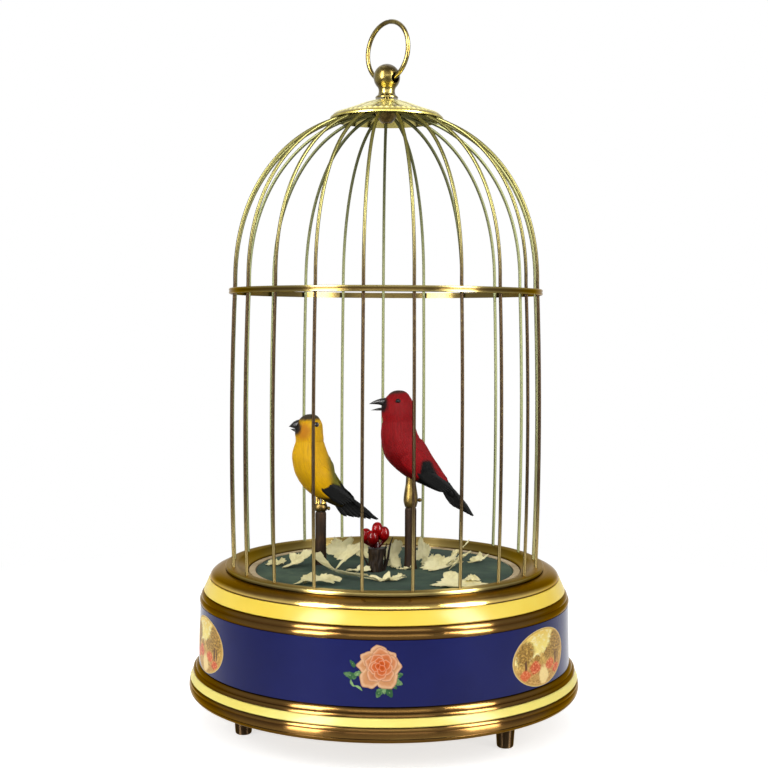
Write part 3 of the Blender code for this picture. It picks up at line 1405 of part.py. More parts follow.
def ratchet_click():
    """The hooked pawl that drops behind the ratchet's teeth, on its stud under the frame."""
    low = PLATE_TOP + RATCHET_UP
    top = low + RATCHET_T
    pivot = BARREL_XY + CLICK_PIVOT
    elbow = BARREL_XY + polar(*CLICK_ELBOW)
    nose = BARREL_XY + polar(*CLICK_NOSE)
    obj = plate("ratchet_click", [slot(pivot, elbow, CLICK_W / 2)], low, top, STEEL)
    hook = plate("click_hook", [slot(elbow, nose, CLICK_NOSE_W / 2)], low + 0.1 * MM, top - 0.1 * MM, cutter=True)
    combine(obj, hook)
    boss = rod("click_boss", STUD_R + 1.3 * MM, low + 0.1 * MM, top - 0.1 * MM, pivot, None, 10, cutter=True)
    boss.rotation_euler = (0.0, 0.0, 0.11)
    combine(obj, boss)
    cut(obj, rod("click_hole", STUD_R + PIVOT_GAP, low - 1.0 * MM, top + 1.0 * MM, pivot, None, 8, cutter=True))
    return obj


def governor_fly():
    """The fast arbor with its pinion and a two-bladed air brake."""
    pinion = gear(PINION_TEETH, THIRD_MODULE, FLY_PINION_PHASE)
    obj = plate("governor_fly", [pinion], THIRD_WHEEL_Z - 0.6 * MM, THIRD_WHEEL_Z - 0.6 * MM + PINION_FACE, STEEL)
    obj.location = (*FLY_XY, 0.0)
    arbor = rod("fly_arbor", ARBOR_R, LOWER_FRAME + 0.3 * MM, UPPER_FRAME_TOP - 0.2 * MM, FLY_XY, cutter=True)
    combine(obj, arbor)
    low = THIRD_WHEEL_Z + 4.0 * MM
    blades = block("fly_blades", (-FLY_R + 0.1 * MM, -0.5 * MM, low), (FLY_R - 0.1 * MM, 0.5 * MM, low + FLY_H), cutter=True)
    blades.location = (*FLY_XY, 0.0)
    blades.rotation_euler = (0.0, 0.0, math.radians(70.0))
    combine(obj, blades)
    return obj


def lobed(radius, lift, lobes, steps):
    """A cam outline whose radius rises and falls; the highest place faces the phase angle 0."""
    angles = (math.tau * i / steps for i in range(steps))
    return [polar(radius - lift * (0.5 - 0.5 * math.cos(lobes * a)), a) for a in angles]


def cam_stack():
    """The cam wheel, the song cam between the plates and the two bird cams above them."""
    wheel = gear(CAM_TEETH, BARREL_MODULE, CAM_PHASE)
    top = YELLOW_LEVER_Z + CAM_T + 1.0 * MM
    obj = wheel_on_arbor("cam_stack", CAM_XY, wheel, GREAT_WHEEL_Z, None, 0.0, BRASS, top)
    song_z = GREAT_WHEEL_Z + 5.0 * MM
    cams = (
        ("song_cam", lobed(SONG_CAM_R, 0.9 * MM, 7, 28), song_z),
        ("red_cam", lobed(CAM_R, CAM_LIFT, 3, 18), RED_LEVER_Z - 0.2 * MM),
        ("yellow_cam", lobed(CAM_R, CAM_LIFT, 2, 16), YELLOW_LEVER_Z - 0.2 * MM),
    )
    for name, outline, z in cams:
        disc = plate(name, [outline], z, z + CAM_T, None, cutter=True)
        disc.location = (*CAM_XY, 0.0)
        combine(obj, disc)
    return obj


def second_wheel():
    """Driven by the great wheel, it drives the third pinion from its wheel above the barrel."""
    wheel = gear(SECOND_TEETH, SECOND_MODULE, THIRD_DIRECTION)
    pinion = gear(PINION_TEETH, BARREL_MODULE, SECOND_PINION_PHASE)
    return wheel_on_arbor("second_wheel", SECOND_XY, wheel, SECOND_WHEEL_Z, pinion, GREAT_WHEEL_Z - 0.6 * MM)


def third_wheel():
    wheel = gear(THIRD_TEETH, THIRD_MODULE, FLY_DIRECTION)
    pinion = gear(PINION_TEETH, SECOND_MODULE, THIRD_PINION_PHASE)
    return wheel_on_arbor("third_wheel", THIRD_XY, wheel, THIRD_WHEEL_Z, pinion, SECOND_WHEEL_Z - 0.6 * MM)


def head_lever(name, pivot, fork_end, nose, z):
    """A bent lever: a fork round the spindle's crank pin, and an arm that reaches to the cam."""
    low, high = z, z + LEVER_T
    obj = plate(name, [slot(pivot, fork_end, LEVER_W / 2)], low, high, STEEL)
    arm = plate(f"{name}_arm", [slot(pivot, nose, NOSE_R)], low + 0.05 * MM, high - 0.05 * MM, None, cutter=True)
    combine(obj, arm)
    boss = rod(f"{name}_boss", STUD_R + 1.4 * MM, low - 0.05 * MM, high + 0.05 * MM, pivot, None, 10, cutter=True)
    boss.rotation_euler = (0.0, 0.0, 0.11)
    combine(obj, boss)
    hole = rod(f"{name}_hole", STUD_R + PIVOT_GAP, low - 1.0 * MM, high + 1.0 * MM, pivot, None, 8, cutter=True)
    cut(obj, hole)
    outward = (Vector(fork_end) - Vector(pivot)).normalized()
    fork = plate(
        f"{name}_fork",
        [slot(Vector(fork_end) - outward * 1.6 * MM, Vector(fork_end) + outward * 4.0 * MM, CRANK_PIN_R + FORK_GAP)],
        low - 1.0 * MM,
        high + 1.0 * MM,
        None,
        cutter=True,
    )
    cut(obj, fork)
    return obj


def red_head_lever():
    pin = RED_PERCH_XY + Vector((CRANK_ARM, 0.0))
    nose = CAM_XY + Vector((CAM_R + RED_NOSE_GAP + NOSE_R, 0.0))
    return head_lever("red_head_lever", RED_LEVER_XY, pin, nose, RED_LEVER_Z)


def yellow_head_lever():
    pin = YELLOW_PERCH_XY - Vector((0.0, CRANK_ARM))
    nose = CAM_XY + Vector((0.0, CAM_R + YELLOW_NOSE_GAP + NOSE_R))
    return head_lever("yellow_head_lever", YELLOW_LEVER_XY, pin, nose, YELLOW_LEVER_Z)


def stop_lever():
    """The flat lever under the base whose wire comes up against the fly."""
    high = PLATE_LOW - 0.6 * MM
    low = high - STOP_LEVER_T
    finger = STOP_PIVOT_XY + STOP_FINGER
    obj = plate("stop_lever", [slot(STOP_WIRE_XY, STOP_PIVOT_XY, 2.0 * MM)], low, high, DARK_BRASS)
    outer = plate("stop_arm", [slot(STOP_PIVOT_XY, finger, 2.2 * MM)], low + 0.05 * MM, high - 0.05 * MM, cutter=True)
    combine(obj, outer)
    boss = rod("stop_boss", STUD_R + 1.5 * MM, low - 0.05 * MM, high + 0.05 * MM, STOP_PIVOT_XY, cutter=True)
    combine(obj, boss)
    cut(obj, rod("stop_hole", STUD_R + PIVOT_GAP, low - 1.0 * MM, high + 1.0 * MM, STOP_PIVOT_XY, cutter=True))
    tab = rod("stop_tab", 2.6 * MM, low - 3.2 * MM, high - 0.2 * MM, finger, cutter=True)
    combine(obj, tab)
    wire_top = THIRD_WHEEL_Z + 4.0 * MM + FLY_H
    combine(obj, rod("stop_wire", STOP_WIRE_R, low + 0.2 * MM, wire_top, STOP_WIRE_XY, cutter=True))
    return obj


# Bellows and whistle

def bellows_box():
    low = LOWER_FRAME_TOP + SEAT_GAP
    outline = rounded_box(*BELLOWS_X, *BELLOWS_Y, 2.0 * MM, 2)
    return plate("bellows_box", [outline], low, low + BELLOWS_BOX_H, WOOD)


def bellows_hinge():
    """The line that the board turns about, along X at the back end of the box."""
    z = LOWER_FRAME_TOP + SEAT_GAP + BELLOWS_BOX_H + BELLOWS_HINGE_UP
    return Vector((0.0, BELLOWS_Y[1] - 1.0 * MM, z))


def bellows_board():
    hinge = bellows_hinge()
    length = hinge.y - BELLOWS_Y[0]
    outline = rounded_box(*BELLOWS_X, -length, 0.0, 2.0 * MM, 2)
    obj = plate("bellows_board", [outline], 0.0, BELLOWS_BOARD_T, WOOD)
    obj.location = hinge
    obj.rotation_euler = (-BELLOWS_OPEN, 0.0, 0.0)
    return obj


def bellows_leather():
    """The leather between box and board, a wedge with one fold drawn in at its open end."""
    hinge = bellows_hinge()
    low = hinge.z - BELLOWS_HINGE_UP + SEAT_GAP
    deep = hinge.y - BELLOWS_Y[0] - 1.2 * MM
    slope = math.tan(BELLOWS_OPEN)
    near = 2.5 * MM
    front = Vector((-deep, hinge.z + deep * slope - SEAT_GAP * 1.3))
    back = Vector((-near, hinge.z + near * slope - SEAT_GAP * 1.3))
    outline = [
        Vector((-near, low)),
        back,
        front,
        Vector((-deep + 2.4 * MM, (low + front.y) / 2)),
        Vector((-deep, low)),
    ]
    x_low, x_high = BELLOWS_X
    obj = plate("bellows_leather", [outline], x_low + 1.0 * MM, x_high - 1.0 * MM, LEATHER)
    stand = Matrix(((0, 0, 1, 0), (1, 0, 0, hinge.y), (0, 1, 0, 0), (0, 0, 0, 1)))
    obj.matrix_world = stand
    return obj


def lay_along_x(obj, start, z):
    """Lay an upright turned piece down, its foot at start and its top towards +X."""
    obj.rotation_euler = (0.0, math.pi / 2, 0.0)
    obj.location = (start[0], start[1], z)


def whistle_axis_z():
    return LOWER_FRAME_TOP + WHISTLE_UP + SEAT_GAP


def whistle_tube():
    """A stopped tube with a sounding mouth cut in its top and two saddles under it."""
    inner = WHISTLE_R - WHISTLE_WALL
    profile = [
        (0.0, WHISTLE_L),
        (WHISTLE_R, WHISTLE_L),
        (WHISTLE_R, 0.0),
        (inner, 0.0),
        (inner, WHISTLE_L - 2.0 * MM),
        (0.0, WHISTLE_L - 2.0 * MM),
    ]
    obj = turned("whistle_tube", profile, BRASS, SMALL_FACETS, loop=False)
    z = whistle_axis_z()
    lay_along_x(obj, WHISTLE_START, z)
    for i, share in enumerate((0.2, 0.8)):
        x = WHISTLE_START.x + WHISTLE_L * share
        low = (x - 2.0 * MM, WHISTLE_START.y - 2.5 * MM, LOWER_FRAME_TOP + SEAT_GAP)
        high = (x + 2.0 * MM, WHISTLE_START.y + 2.5 * MM, z - WHISTLE_R + 0.6 * MM)
        combine(obj, block(f"saddle_{i}", low, high, cutter=True))
    x = WHISTLE_START.x + WHISTLE_L - 6.5 * MM
    low = (x, WHISTLE_START.y - 2.2 * MM, z + 1.6 * MM)
    high = (x + 3.0 * MM, WHISTLE_START.y + 2.2 * MM, z + WHISTLE_R + 1.0 * MM)
    cut(obj, block("whistle_mouth", low, high, cutter=True))
    return obj


def whistle_piston():
    """The sliding stopper that bends the note, on its rod."""
    radius = WHISTLE_R - WHISTLE_WALL - SEAT_GAP
    end = PISTON_REST - PISTON_ROD
    profile = [
        (0.0, PISTON_REST + PISTON_L),
        (radius, PISTON_REST + PISTON_L),
        (radius, PISTON_REST),
        (PISTON_ROD_R, PISTON_REST),
        (PISTON_ROD_R, end + 1.5 * MM),
        (PISTON_ROD_R + 0.8 * MM, end + 1.5 * MM),
        (PISTON_ROD_R + 0.8 * MM, end),
        (0.0, end),
    ]
    obj = turned("whistle_piston", profile, STEEL, SMALL_FACETS, loop=False)
    lay_along_x(obj, WHISTLE_START, whistle_axis_z())
    return obj


def build_base():
    lower_moulding()
    enamel_band("lower_cream_band", RIM_CHANNEL, CREAM)
    drum_band()
    upper_moulding()
    enamel_band("upper_cream_band", SHOULDER_CHANNEL, CREAM)
    bottom_plate()
    for index in range(FOOT_COUNT):
        foot(index)
    floor_disc()
    floor_border()


def build_cage():
    cage_base_ring()
    cage_mid_ring()
    for index in range(BAR_COUNT // BARS_IN_GROUP):
        bar_group(index)
    crown_cap()
    crown_hub()
    ring_finial()
    hanging_ring()


def build_birds():
    _, red_top = red_perch_clip()
    _, yellow_top = yellow_perch_clip()
    perch_post("red_perch_post", RED_PERCH_XY, RED_PERCH_H, RED_PERCH_R)
    perch_post("yellow_perch_post", YELLOW_PERCH_XY, YELLOW_PERCH_H, YELLOW_PERCH_R)
    bird_body(RED_BIRD, RED_PERCH_XY, red_top, 1.7 * MM + PIVOT_GAP)
    bird_body(YELLOW_BIRD, YELLOW_PERCH_XY, yellow_top, LEG_SPREAD + 2.0 * LEG_R + PIVOT_GAP)
    for bird in (RED_BIRD, YELLOW_BIRD):
        bird_head(bird)
        lower_beak(bird)
        bird_tail(bird)
    red_crank_z = RED_LEVER_Z + LEVER_T + SEAT_GAP
    head_spindle("red_head_spindle", RED_PERCH_XY, red_top - 0.5 * MM, red_crank_z, 0.0)
    yellow_crank_z = YELLOW_LEVER_Z + LEVER_T + SEAT_GAP
    head_spindle("yellow_head_spindle", YELLOW_PERCH_XY, yellow_top - 0.5 * MM, yellow_crank_z, -math.pi / 2)
    berry_stump()
    berry_cluster()
    leaf_scraps()


def build_movement():
    movement_lower_plate()
    movement_upper_plate()
    spring_barrel()
    mainspring()
    winding_arbor()
    winding_key()
    ratchet_click()
    second_wheel()
    third_wheel()
    governor_fly()
    cam_stack()
    red_head_lever()
    yellow_head_lever()
    stop_lever()
    bellows_box()
    bellows_board()
    bellows_leather()
    whistle_tube()
    whistle_piston()


build_base()
build_cage()
build_birds()
build_movement()
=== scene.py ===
"""Singing bird cage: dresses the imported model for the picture."""

import math
import random

import bmesh
import bpy
from mathutils import Matrix, Vector, noise


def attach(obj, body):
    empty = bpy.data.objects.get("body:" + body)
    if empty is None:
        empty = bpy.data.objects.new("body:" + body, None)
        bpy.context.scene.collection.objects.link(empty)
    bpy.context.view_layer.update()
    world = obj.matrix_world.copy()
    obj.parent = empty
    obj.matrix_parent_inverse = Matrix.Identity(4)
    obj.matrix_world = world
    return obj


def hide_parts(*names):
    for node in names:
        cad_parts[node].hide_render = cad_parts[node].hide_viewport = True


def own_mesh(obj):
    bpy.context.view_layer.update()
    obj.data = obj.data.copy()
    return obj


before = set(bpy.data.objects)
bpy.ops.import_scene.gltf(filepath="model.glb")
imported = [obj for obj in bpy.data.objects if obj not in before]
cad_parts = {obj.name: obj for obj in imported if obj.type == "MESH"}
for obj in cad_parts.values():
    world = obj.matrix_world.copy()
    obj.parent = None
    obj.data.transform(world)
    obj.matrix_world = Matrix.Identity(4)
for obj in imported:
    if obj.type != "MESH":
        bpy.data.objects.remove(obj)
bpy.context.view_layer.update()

MM = 0.001
RING_SEGMENTS = 160
WELD_REACH = 1e-6

# Sizes in millimetres that the model has
DRUM_LOW, DRUM_TOP = 26.5, 50.2
DRUM_LOW_R, DRUM_TOP_R, DRUM_WALL = 75.1, 74.3, 0.8
SHOULDER, SHOULDER_HALF = (64.4, 60.3), (5.9, 3.3)
RIM, RIM_HALF = (76.6, 16.9), (2.4, 3.0)
FOOT_CIRCLE_R, FIRST_FOOT = 59.5, 51.6
FLOOR_TOP, FLOOR_UNDER = 62.3, 60.9
BAR_COUNT, BAR_GROUPS, BAR_R, BAR_LOW, BAR_RISE = 21, 7, 0.65, 65.5, 111.0
BAR_CIRCLE_R, BAR_LEAN_IN, BAR_BOW, BAR_END_R = 61.4, 1.1, 1.1, 6.0
DOME_LOW, DOME_R, DOME_RISE, DOME_FULLNESS = 176.5, 60.3, 67.4, 2.15
FIRST_BAR = math.radians(9.6)
CAP_R, CAP_RIM_Z, CAP_TOP_Z = 22.3, 241.05, 249.0
BALL_R, BALL_Z, STEM_LOW = 5.2, 257.353, 240.6
RING_HINGE_Z, RING_R, RING_WIRE_R, RING_DROP = 256.753, 11.3, 0.9, 10.7
RING_TURN, RING_LEAN = math.radians(-46), math.radians(-2)
RED_PERCH = (10.5, 0.0)
YELLOW_PERCH = (-26.3, 8.0)
RED_CLIP_LOW, YELLOW_CLIP_LOW = 87.5, 84.6
STUMP, STUMP_LEAN, STUMP_TALL = (-3.6, -7.0), 0.3, 9.35


def srgb(red, green, blue):
    """A colour written as 0 to 255 screen values, for a shader."""
    def linear(c):
        c /= 255.0
        return c / 12.92 if c <= 0.04045 else ((c + 0.055) / 1.055) ** 2.4
    return (linear(red), linear(green), linear(blue), 1.0)


WHITE = (1.0, 1.0, 1.0, 1.0)
BLACK_FEATHER = srgb(9, 10, 10)
OLIVE = srgb(112, 108, 26)


# Materials

class Value:
    """What a shader node puts out; sums and products of it are nodes too."""

    def __init__(self, tree, socket):
        self.tree, self.socket = tree, socket

    def maths(self, operation, first, second=0.0):
        return node(self.tree, "Math", {0: first, 1: second}, operation=operation)

    def __add__(self, other):
        return self.maths("ADD", self, other)

    def __sub__(self, other):
        return self.maths("SUBTRACT", self, other)

    def __rsub__(self, other):
        return self.maths("SUBTRACT", other, self)

    def __mul__(self, other):
        return self.maths("MULTIPLY", self, other)

    def most(self, other):
        return self.maths("MAXIMUM", self, other)

    def clamped(self):
        """The same value, held between 0 and 1."""
        self.socket.node.use_clamp = True
        return self


def feed(socket, source):
    """Links a value to a socket, or sets the socket to a number or a colour."""
    if isinstance(source, Value):
        source.tree.links.new(source.socket, socket)
    else:
        socket.default_value = source


def node(tree, kind, inputs=None, output=0, **settings):
    """Adds a node, sets it up, feeds its inputs and gives back one of its outputs."""
    made = tree.nodes.new(f"ShaderNode{kind}")
    for key, setting in settings.items():
        setattr(made, key, setting)
    for key, source in (inputs or {}).items():
        feed(made.inputs[key], source)
    return Value(tree, made.outputs[output])


class Paint:
    """A material built from nodes; its methods give back values or take them."""

    def __init__(self, name, roughness, metallic=0.0, specular=0.12):
        self.mat = bpy.data.materials.new(name)
        self.mat.use_nodes = True
        self.tree = self.mat.node_tree
        self.shader = self.tree.nodes["Principled BSDF"]
        self.set("Roughness", roughness)
        self.set("Metallic", metallic)
        self.set("Specular IOR Level", 0.5 if metallic else specular)
        self.place = self.node("TexCoord", output="Object")

    def node(self, kind, inputs=None, output=0, **settings):
        return node(self.tree, kind, inputs, output, **settings)

    def set(self, name, source):
        feed(self.shader.inputs[name], source)
        return self

    def mix(self, factor, a, b):
        return self.node("Mix", {0: factor, 6: a, 7: b}, 2, data_type="RGBA")

    def step(self, value, low, high):
        """0 below low and 1 above high, smooth between."""
        inputs = {"Value": value, "From Min": low, "From Max": high}
        return self.node("MapRange", inputs, "Result", interpolation_type="SMOOTHSTEP")

    def ramp(self, factor, stops):
        """A colour between those that stand at set places from 0 to 1."""
        made = self.node("ValToRGB", {0: factor})
        points = made.socket.node.color_ramp.elements
        while len(points) < len(stops):
            points.new(0.5)
        for point, (place, colour) in zip(points, stops.items()):
            point.position = place
            point.color = colour
        return made

    def noise(self, scale, detail, rough, at=None, warp=0.0):
        inputs = {"Vector": at or self.place, "Scale": scale, "Detail": detail}
        return self.node("TexNoise", {**inputs, "Roughness": rough, "Distortion": warp})

    def grain(self, factors, detail, rough, warp=0.0):
        """Noise that is drawn out along the axes with the small factors."""
        at = self.node("VectorMath", {0: self.place, 1: factors}, operation="MULTIPLY")
        return self.noise(1.0, detail, rough, at, warp)

    def cells(self, scale):
        return self.node("TexVoronoi", {"Vector": self.place, "Scale": scale}, "Distance")

    def attribute(self, name):
        return self.node("Attribute", output="Fac", attribute_name=name)

    def vector(self, x, y, z=0.0):
        return self.node("CombineXYZ", {0: x, 1: y, 2: z})

    def axis(self, name):
        return self.node("SeparateXYZ", {0: self.place}, name)

    def length(self, x, y):
        total = x * x + y * y
        return total.maths("SQRT", total)

    def colour(self, source):
        self.coat = source
        return self.set("Base Color", source)

    def over(self, mask, colour):
        """Lays a colour over what is painted so far, as far as the mask says."""
        return self.colour(self.mix(mask, self.coat, colour))

    def rough(self, source):
        return self.set("Roughness", source)

    def bump(self, height, strength, depth):
        """Relief from a height; depth in millimetres."""
        inputs = {"Strength": strength, "Distance": depth * MM, "Height": height}
        return self.set("Normal", self.node("Bump", inputs, "Normal"))

    def turned(self):
        """The grooves that turning leaves round the Z axis spread a highlight up and down."""
        self.set("Anisotropic", 1.0)
        self.set("Anisotropic Rotation", 0.25)
        self.set("Tangent", self.node("Tangent", direction_type="RADIAL", axis="Z"))

    def round_streaks(self):
        """Noise drawn out round the Z axis, as turning leaves it."""
        x, y, z = (self.axis(k) for k in "XYZ")
        return self.noise(1.0, 2.0, 0.6, self.vector(self.length(x, y) * 900.0, z * 900.0))


def turned_brass(name, dark, middle, bright, roughness):
    """Lacquered brass: brown as painted shade in the hollows and where aged, gold crests as a painted
    highlight.
    """
    paint = Paint(name, roughness, 1.0)
    paint.set("Specular Tint", (0.72, 0.56, 0.36, 1.0))
    patch = paint.noise(38.0, 4.0, 0.6)
    streak = paint.round_streaks()
    # Crest values paint the highlight on crests and the shade in hollows; noise patches and streaks vary it
    gold_share = (paint.attribute("crest") * 0.75 + patch * 0.35 + streak * 0.22 - 0.20).clamped()
    paint.colour(paint.ramp(gold_share, {0.05: dark, 0.6: middle, 0.95: bright}))
    paint.over(paint.step(paint.noise(420.0, 3.0, 0.7), 0.66, 0.72) * 0.35, dark)
    paint.rough(patch * 0.10 + (roughness - 0.05))
    paint.turned()
    return paint.bump(streak, 0.10, 0.05)


def wire_brass():
    """Drawn brass wire: brown as painted shade in front, green-gold as a painted highlight behind and over
    the dome, paler near the base.
    """
    paint = Paint("cage_wire", 0.26, 1.0)
    paint.set("Specular Tint", (0.46, 0.41, 0.29, 1.0))
    patch = paint.noise(26.0, 3.0, 0.6)
    # Heights and depths are in metres, as the shader reads them
    behind = paint.step(paint.axis("Y"), -0.012, 0.020)
    # Dark brown as painted shade, with a painted highlight over the dome and a paler band near the base
    paint.colour((0.014, 0.009, 0.005, 1))
    paint.over(paint.step(paint.axis("Z"), 0.172, 0.222), (0.100, 0.093, 0.032, 1))
    paint.over(1.0 - paint.step(paint.axis("Z"), 0.066, 0.100), (0.115, 0.088, 0.034, 1))
    # Paler green-gold behind, as a painted highlight
    paint.over(behind, (0.084, 0.090, 0.044, 1))
    paint.over((patch * 1.1 - 0.25).clamped() * 0.45, (0.028, 0.018, 0.008, 1))
    paint.over(paint.step(paint.noise(700.0, 2.0, 0.5), 0.55, 0.75) * 0.06, (0.20, 0.16, 0.06, 1))
    return paint.rough(behind * 0.22 + (patch * 0.16 + 0.30))


def plain_brass(name, dark, bright, roughness, scale=160.0):
    paint = Paint(name, roughness, 1.0)
    scratch = paint.grain((2400.0, 900.0, 500.0), 2.0, 0.6)
    paint.colour(dark)
    paint.over(paint.step(paint.noise(scale, 4.0, 0.65), 0.35, 0.68), bright)
    paint.rough(scratch * 0.22 + (roughness - 0.08))
    return paint.bump(scratch, 0.08, 0.05)


def embossed_gold():
    paint = Paint("embossed_gold", 0.25, 1.0)
    patch = paint.noise(300.0, 4.0, 0.7)
    gold_share = (patch * 0.5 + (paint.attribute("raised") * 0.85 - 0.28)).clamped()
    golds = {0.0: (0.22, 0.17, 0.035, 1), 0.4: (0.50, 0.44, 0.12, 1), 1.0: (0.84, 0.80, 0.36, 1)}
    paint.colour(paint.ramp(gold_share, golds))
    paint.rough(patch * 0.25 + 0.18)
    return paint.bump(patch, 0.2, 0.1)


def enamel(name, colour, shade, roughness, gloss):
    """Fired enamel: a deep gloss with a faint ripple and slight cloudiness."""
    paint = Paint(name, roughness, specular=gloss)
    paint.colour(colour)
    paint.over(paint.step(paint.noise(30.0, 3.0, 0.5), 0.3, 0.75), shade)
    paint.over(paint.step(paint.noise(900.0, 2.0, 0.6), 0.70, 0.76) * 0.25, shade)
    return paint.bump(paint.noise(120.0, 2.0, 0.5), 0.06, 0.25)


def floor_cloth():
    """Green flock paper with a nap, faded in patches."""
    paint = Paint("floor_flock", 0.92)
    nap = paint.noise(2600.0, 3.0, 0.7)
    tone = (nap * 0.5 + (paint.noise(45.0, 4.0, 0.6) * 1.3 - 0.4)).clamped()
    paint.colour(paint.ramp(tone, {0.0: srgb(15, 28, 21), 0.5: srgb(38, 60, 45), 1.0: srgb(84, 102, 74)}))
    return paint.bump(nap, 0.5, 0.25)


def border_paper():
    paint = Paint("border_paper", 0.75)
    grain = paint.noise(1800.0, 2.0, 0.6)
    tone = (grain * 0.3 + (paint.noise(70.0, 4.0, 0.65) * 1.2 - 0.3)).clamped()
    papers = {0.0: srgb(120, 98, 70), 0.45: srgb(186, 166, 128), 1.0: srgb(222, 208, 182)}
    paint.colour(paint.ramp(tone, papers))
    return paint.bump(grain, 0.3, 0.12)


def scrap_paper():
    """Torn dry leaf: ivory with a greener tint in patches and darker edges."""
    paint = Paint("dry_leaf", 0.85)
    patch = paint.noise(150.0, 4.0, 0.65)
    grain = paint.noise(900.0, 3.0, 0.7)
    tone = (grain * 0.45 + (patch * 1.1 - 0.35)).clamped()
    ivory = {0.0: srgb(182, 170, 112), 0.4: srgb(234, 225, 172), 1.0: srgb(252, 247, 210)}
    paint.colour(paint.ramp(tone, ivory))
    paint.over(paint.step(paint.noise(60.0, 2.0, 0.5), 0.52, 0.68) * 0.4, srgb(168, 164, 104))
    paint.over(paint.step(paint.attribute("edge"), 0.88, 1.0) * 0.25, srgb(168, 156, 108))
    return paint.bump(grain + patch * 2.0, 0.5, 0.35)


def bark(name, low, middle, high, gloss=0.45):
    paint = Paint(name, gloss, specular=0.05)
    grain = paint.grain((900.0, 900.0, 130.0), 4.0, 0.65)
    tone = (grain * 0.9 + (paint.noise(140.0, 3.0, 0.6) * 0.7 - 0.35)).clamped()
    paint.colour(paint.ramp(tone, {0.0: low, 0.5: middle, 1.0: high}))
    paint.rough(grain * 0.25 + (gloss - 0.1))
    return paint.bump(grain, 0.4, 0.2)


def plumage(name, shades, dark_parts, gloss, belly_shade=None):
    """Painted feathers: fine barbs along the body, a painted shade darkening the lower belly, with the dark
    parts laid over.
    """
    paint = Paint(name, gloss, specular=0.03)
    along, back, side = (paint.attribute(k) for k in ("along", "back", "side"))
    at = paint.vector(back * 15.0, side * 15.0, along * 5.0)
    barbs = paint.noise(1.6, 4.0, 0.7, at)
    fine = paint.noise(4.5, 3.0, 0.7, at)
    tone = (fine * 0.45 + (barbs * 1.1 - 0.35)).clamped()
    paint.colour(paint.ramp(tone, dict(zip((0.0, 0.45, 1.0), shades))))
    if belly_shade:
        # The lower belly is painted darker as painted shade
        paint.over(paint.step(along, 0.15, 0.75) * paint.step(back * -1.0, -0.3, 0.9), belly_shade)
    for mask, shade in dark_parts(Chart(paint, barbs * 3.2 - 1.6)):
        paint.over(mask, shade)
    paint.rough(fine * 0.3 + (gloss - 0.15))
    return paint.bump(barbs + fine, 0.55, 0.3)


class Chart:
    """Masks over a bird in millimetres, with edges as ragged as its barbs."""

    def __init__(self, paint, ragged):
        self.paint = paint
        self.x, self.z = (paint.axis(k) * 1000.0 + ragged for k in "XZ")

    def beyond(self, x, z, away_x, away_z, soft=0.6):
        """1 on the side of a slanting line through (x, z) that (away_x, away_z) points to."""
        length = math.hypot(away_x, away_z)
        over = (self.x - x) * (away_x / length) + (self.z - z) * (away_z / length)
        return self.paint.step(over, -soft, soft)

    def spot(self, x, z, half_x, half_z, soft):
        """1 inside an oval round (x, z)."""
        far = self.paint.length((self.x - x) * (1.0 / half_x), (self.z - z) * (1.0 / half_z))
        return 1.0 - self.paint.step(far, 1.0 - soft, 1.0 + soft)


def red_dark_parts(chart):
    """Black wing and rump below a red ridge, and black thigh feathers over the clip."""
    wing = chart.beyond(14.0, 102.2, 1.0, -0.18) * chart.beyond(21.2, 101.3, -1.0, -0.54)
    wing *= chart.beyond(16.0, 107.0, 0.0, -1.0)
    rump = chart.beyond(25.4, 96.0, 1.0, 0.0)
    thigh = chart.beyond(0.0, 98.6, 0.0, -1.0) * chart.beyond(6.4, 0.0, 1.0, 0.0)
    return ((wing, BLACK_FEATHER), (rump, BLACK_FEATHER), (thigh, BLACK_FEATHER))


def yellow_dark_parts(chart):
    """Olive along the back, then a black rump and black lower quills."""
    olive = chart.beyond(-22.6, 103.4, 1.0, 0.15, 1.4)
    dark = chart.beyond(-22.0, 94.0, 1.0, -0.12) * chart.beyond(-19.8, 96.2, -0.30, -1.0)
    rump = chart.beyond(-15.6, 92.0, 1.0, 0.0)
    thigh = chart.beyond(0.0, 90.4, 0.0, -1.0)
    return ((olive, OLIVE), (dark, BLACK_FEATHER), (rump, BLACK_FEATHER), (thigh, srgb(46, 38, 12)))


def red_head_parts(chart):
    """A dark crown and a black mask round the beak."""
    crown = chart.beyond(2.4, 133.2, -0.12, 1.0, 0.7)
    mask = chart.spot(-1.4, 129.3, 2.3, 3.4, 0.35)
    return ((crown, srgb(62, 40, 34)), (mask, srgb(26, 14, 14)))


def yellow_head_parts(chart):
    """An orange cheek, a dark crown and a black mask round the beak."""
    crown = chart.beyond(-30.6, 122.2, -0.06, 1.0, 0.6)
    cheek = chart.spot(-33.2, 117.6, 2.8, 3.4, 0.5)
    mask = chart.spot(-36.6, 119.0, 2.5, 3.1, 0.35)
    return ((cheek, srgb(206, 132, 10)), (crown, srgb(66, 58, 42)), (mask, srgb(24, 18, 12)))


def dark_quill():
    paint = Paint("black_quill", 0.6, specular=0.04)
    at = paint.vector(paint.attribute("along") * 60.0, paint.attribute("across") * 7.0)
    barbs = paint.noise(1.0, 3.0, 0.65, at)
    paint.colour(paint.ramp(barbs, {0.2: srgb(5, 5, 5), 0.6: srgb(13, 14, 13), 1.0: srgb(46, 40, 30)}))
    return paint.bump(barbs, 0.5, 0.2)


def horn():
    paint = Paint("black_beak", 0.34, specular=0.16)
    grain = paint.grain((400.0, 1800.0, 1800.0), 3.0, 0.6)
    paint.colour(paint.ramp(grain, {0.3: srgb(10, 9, 8), 1.0: srgb(44, 38, 34)}))
    return paint.bump(grain, 0.2, 0.08)


def eye_glass():
    paint = Paint("eye_bead", 0.12, specular=0.08)
    paint.colour(srgb(4, 4, 4))
    paint.over(paint.noise(2500.0, 2.0, 0.5), srgb(12, 9, 8))
    return paint.over(paint.attribute("crest"), srgb(46, 26, 18))


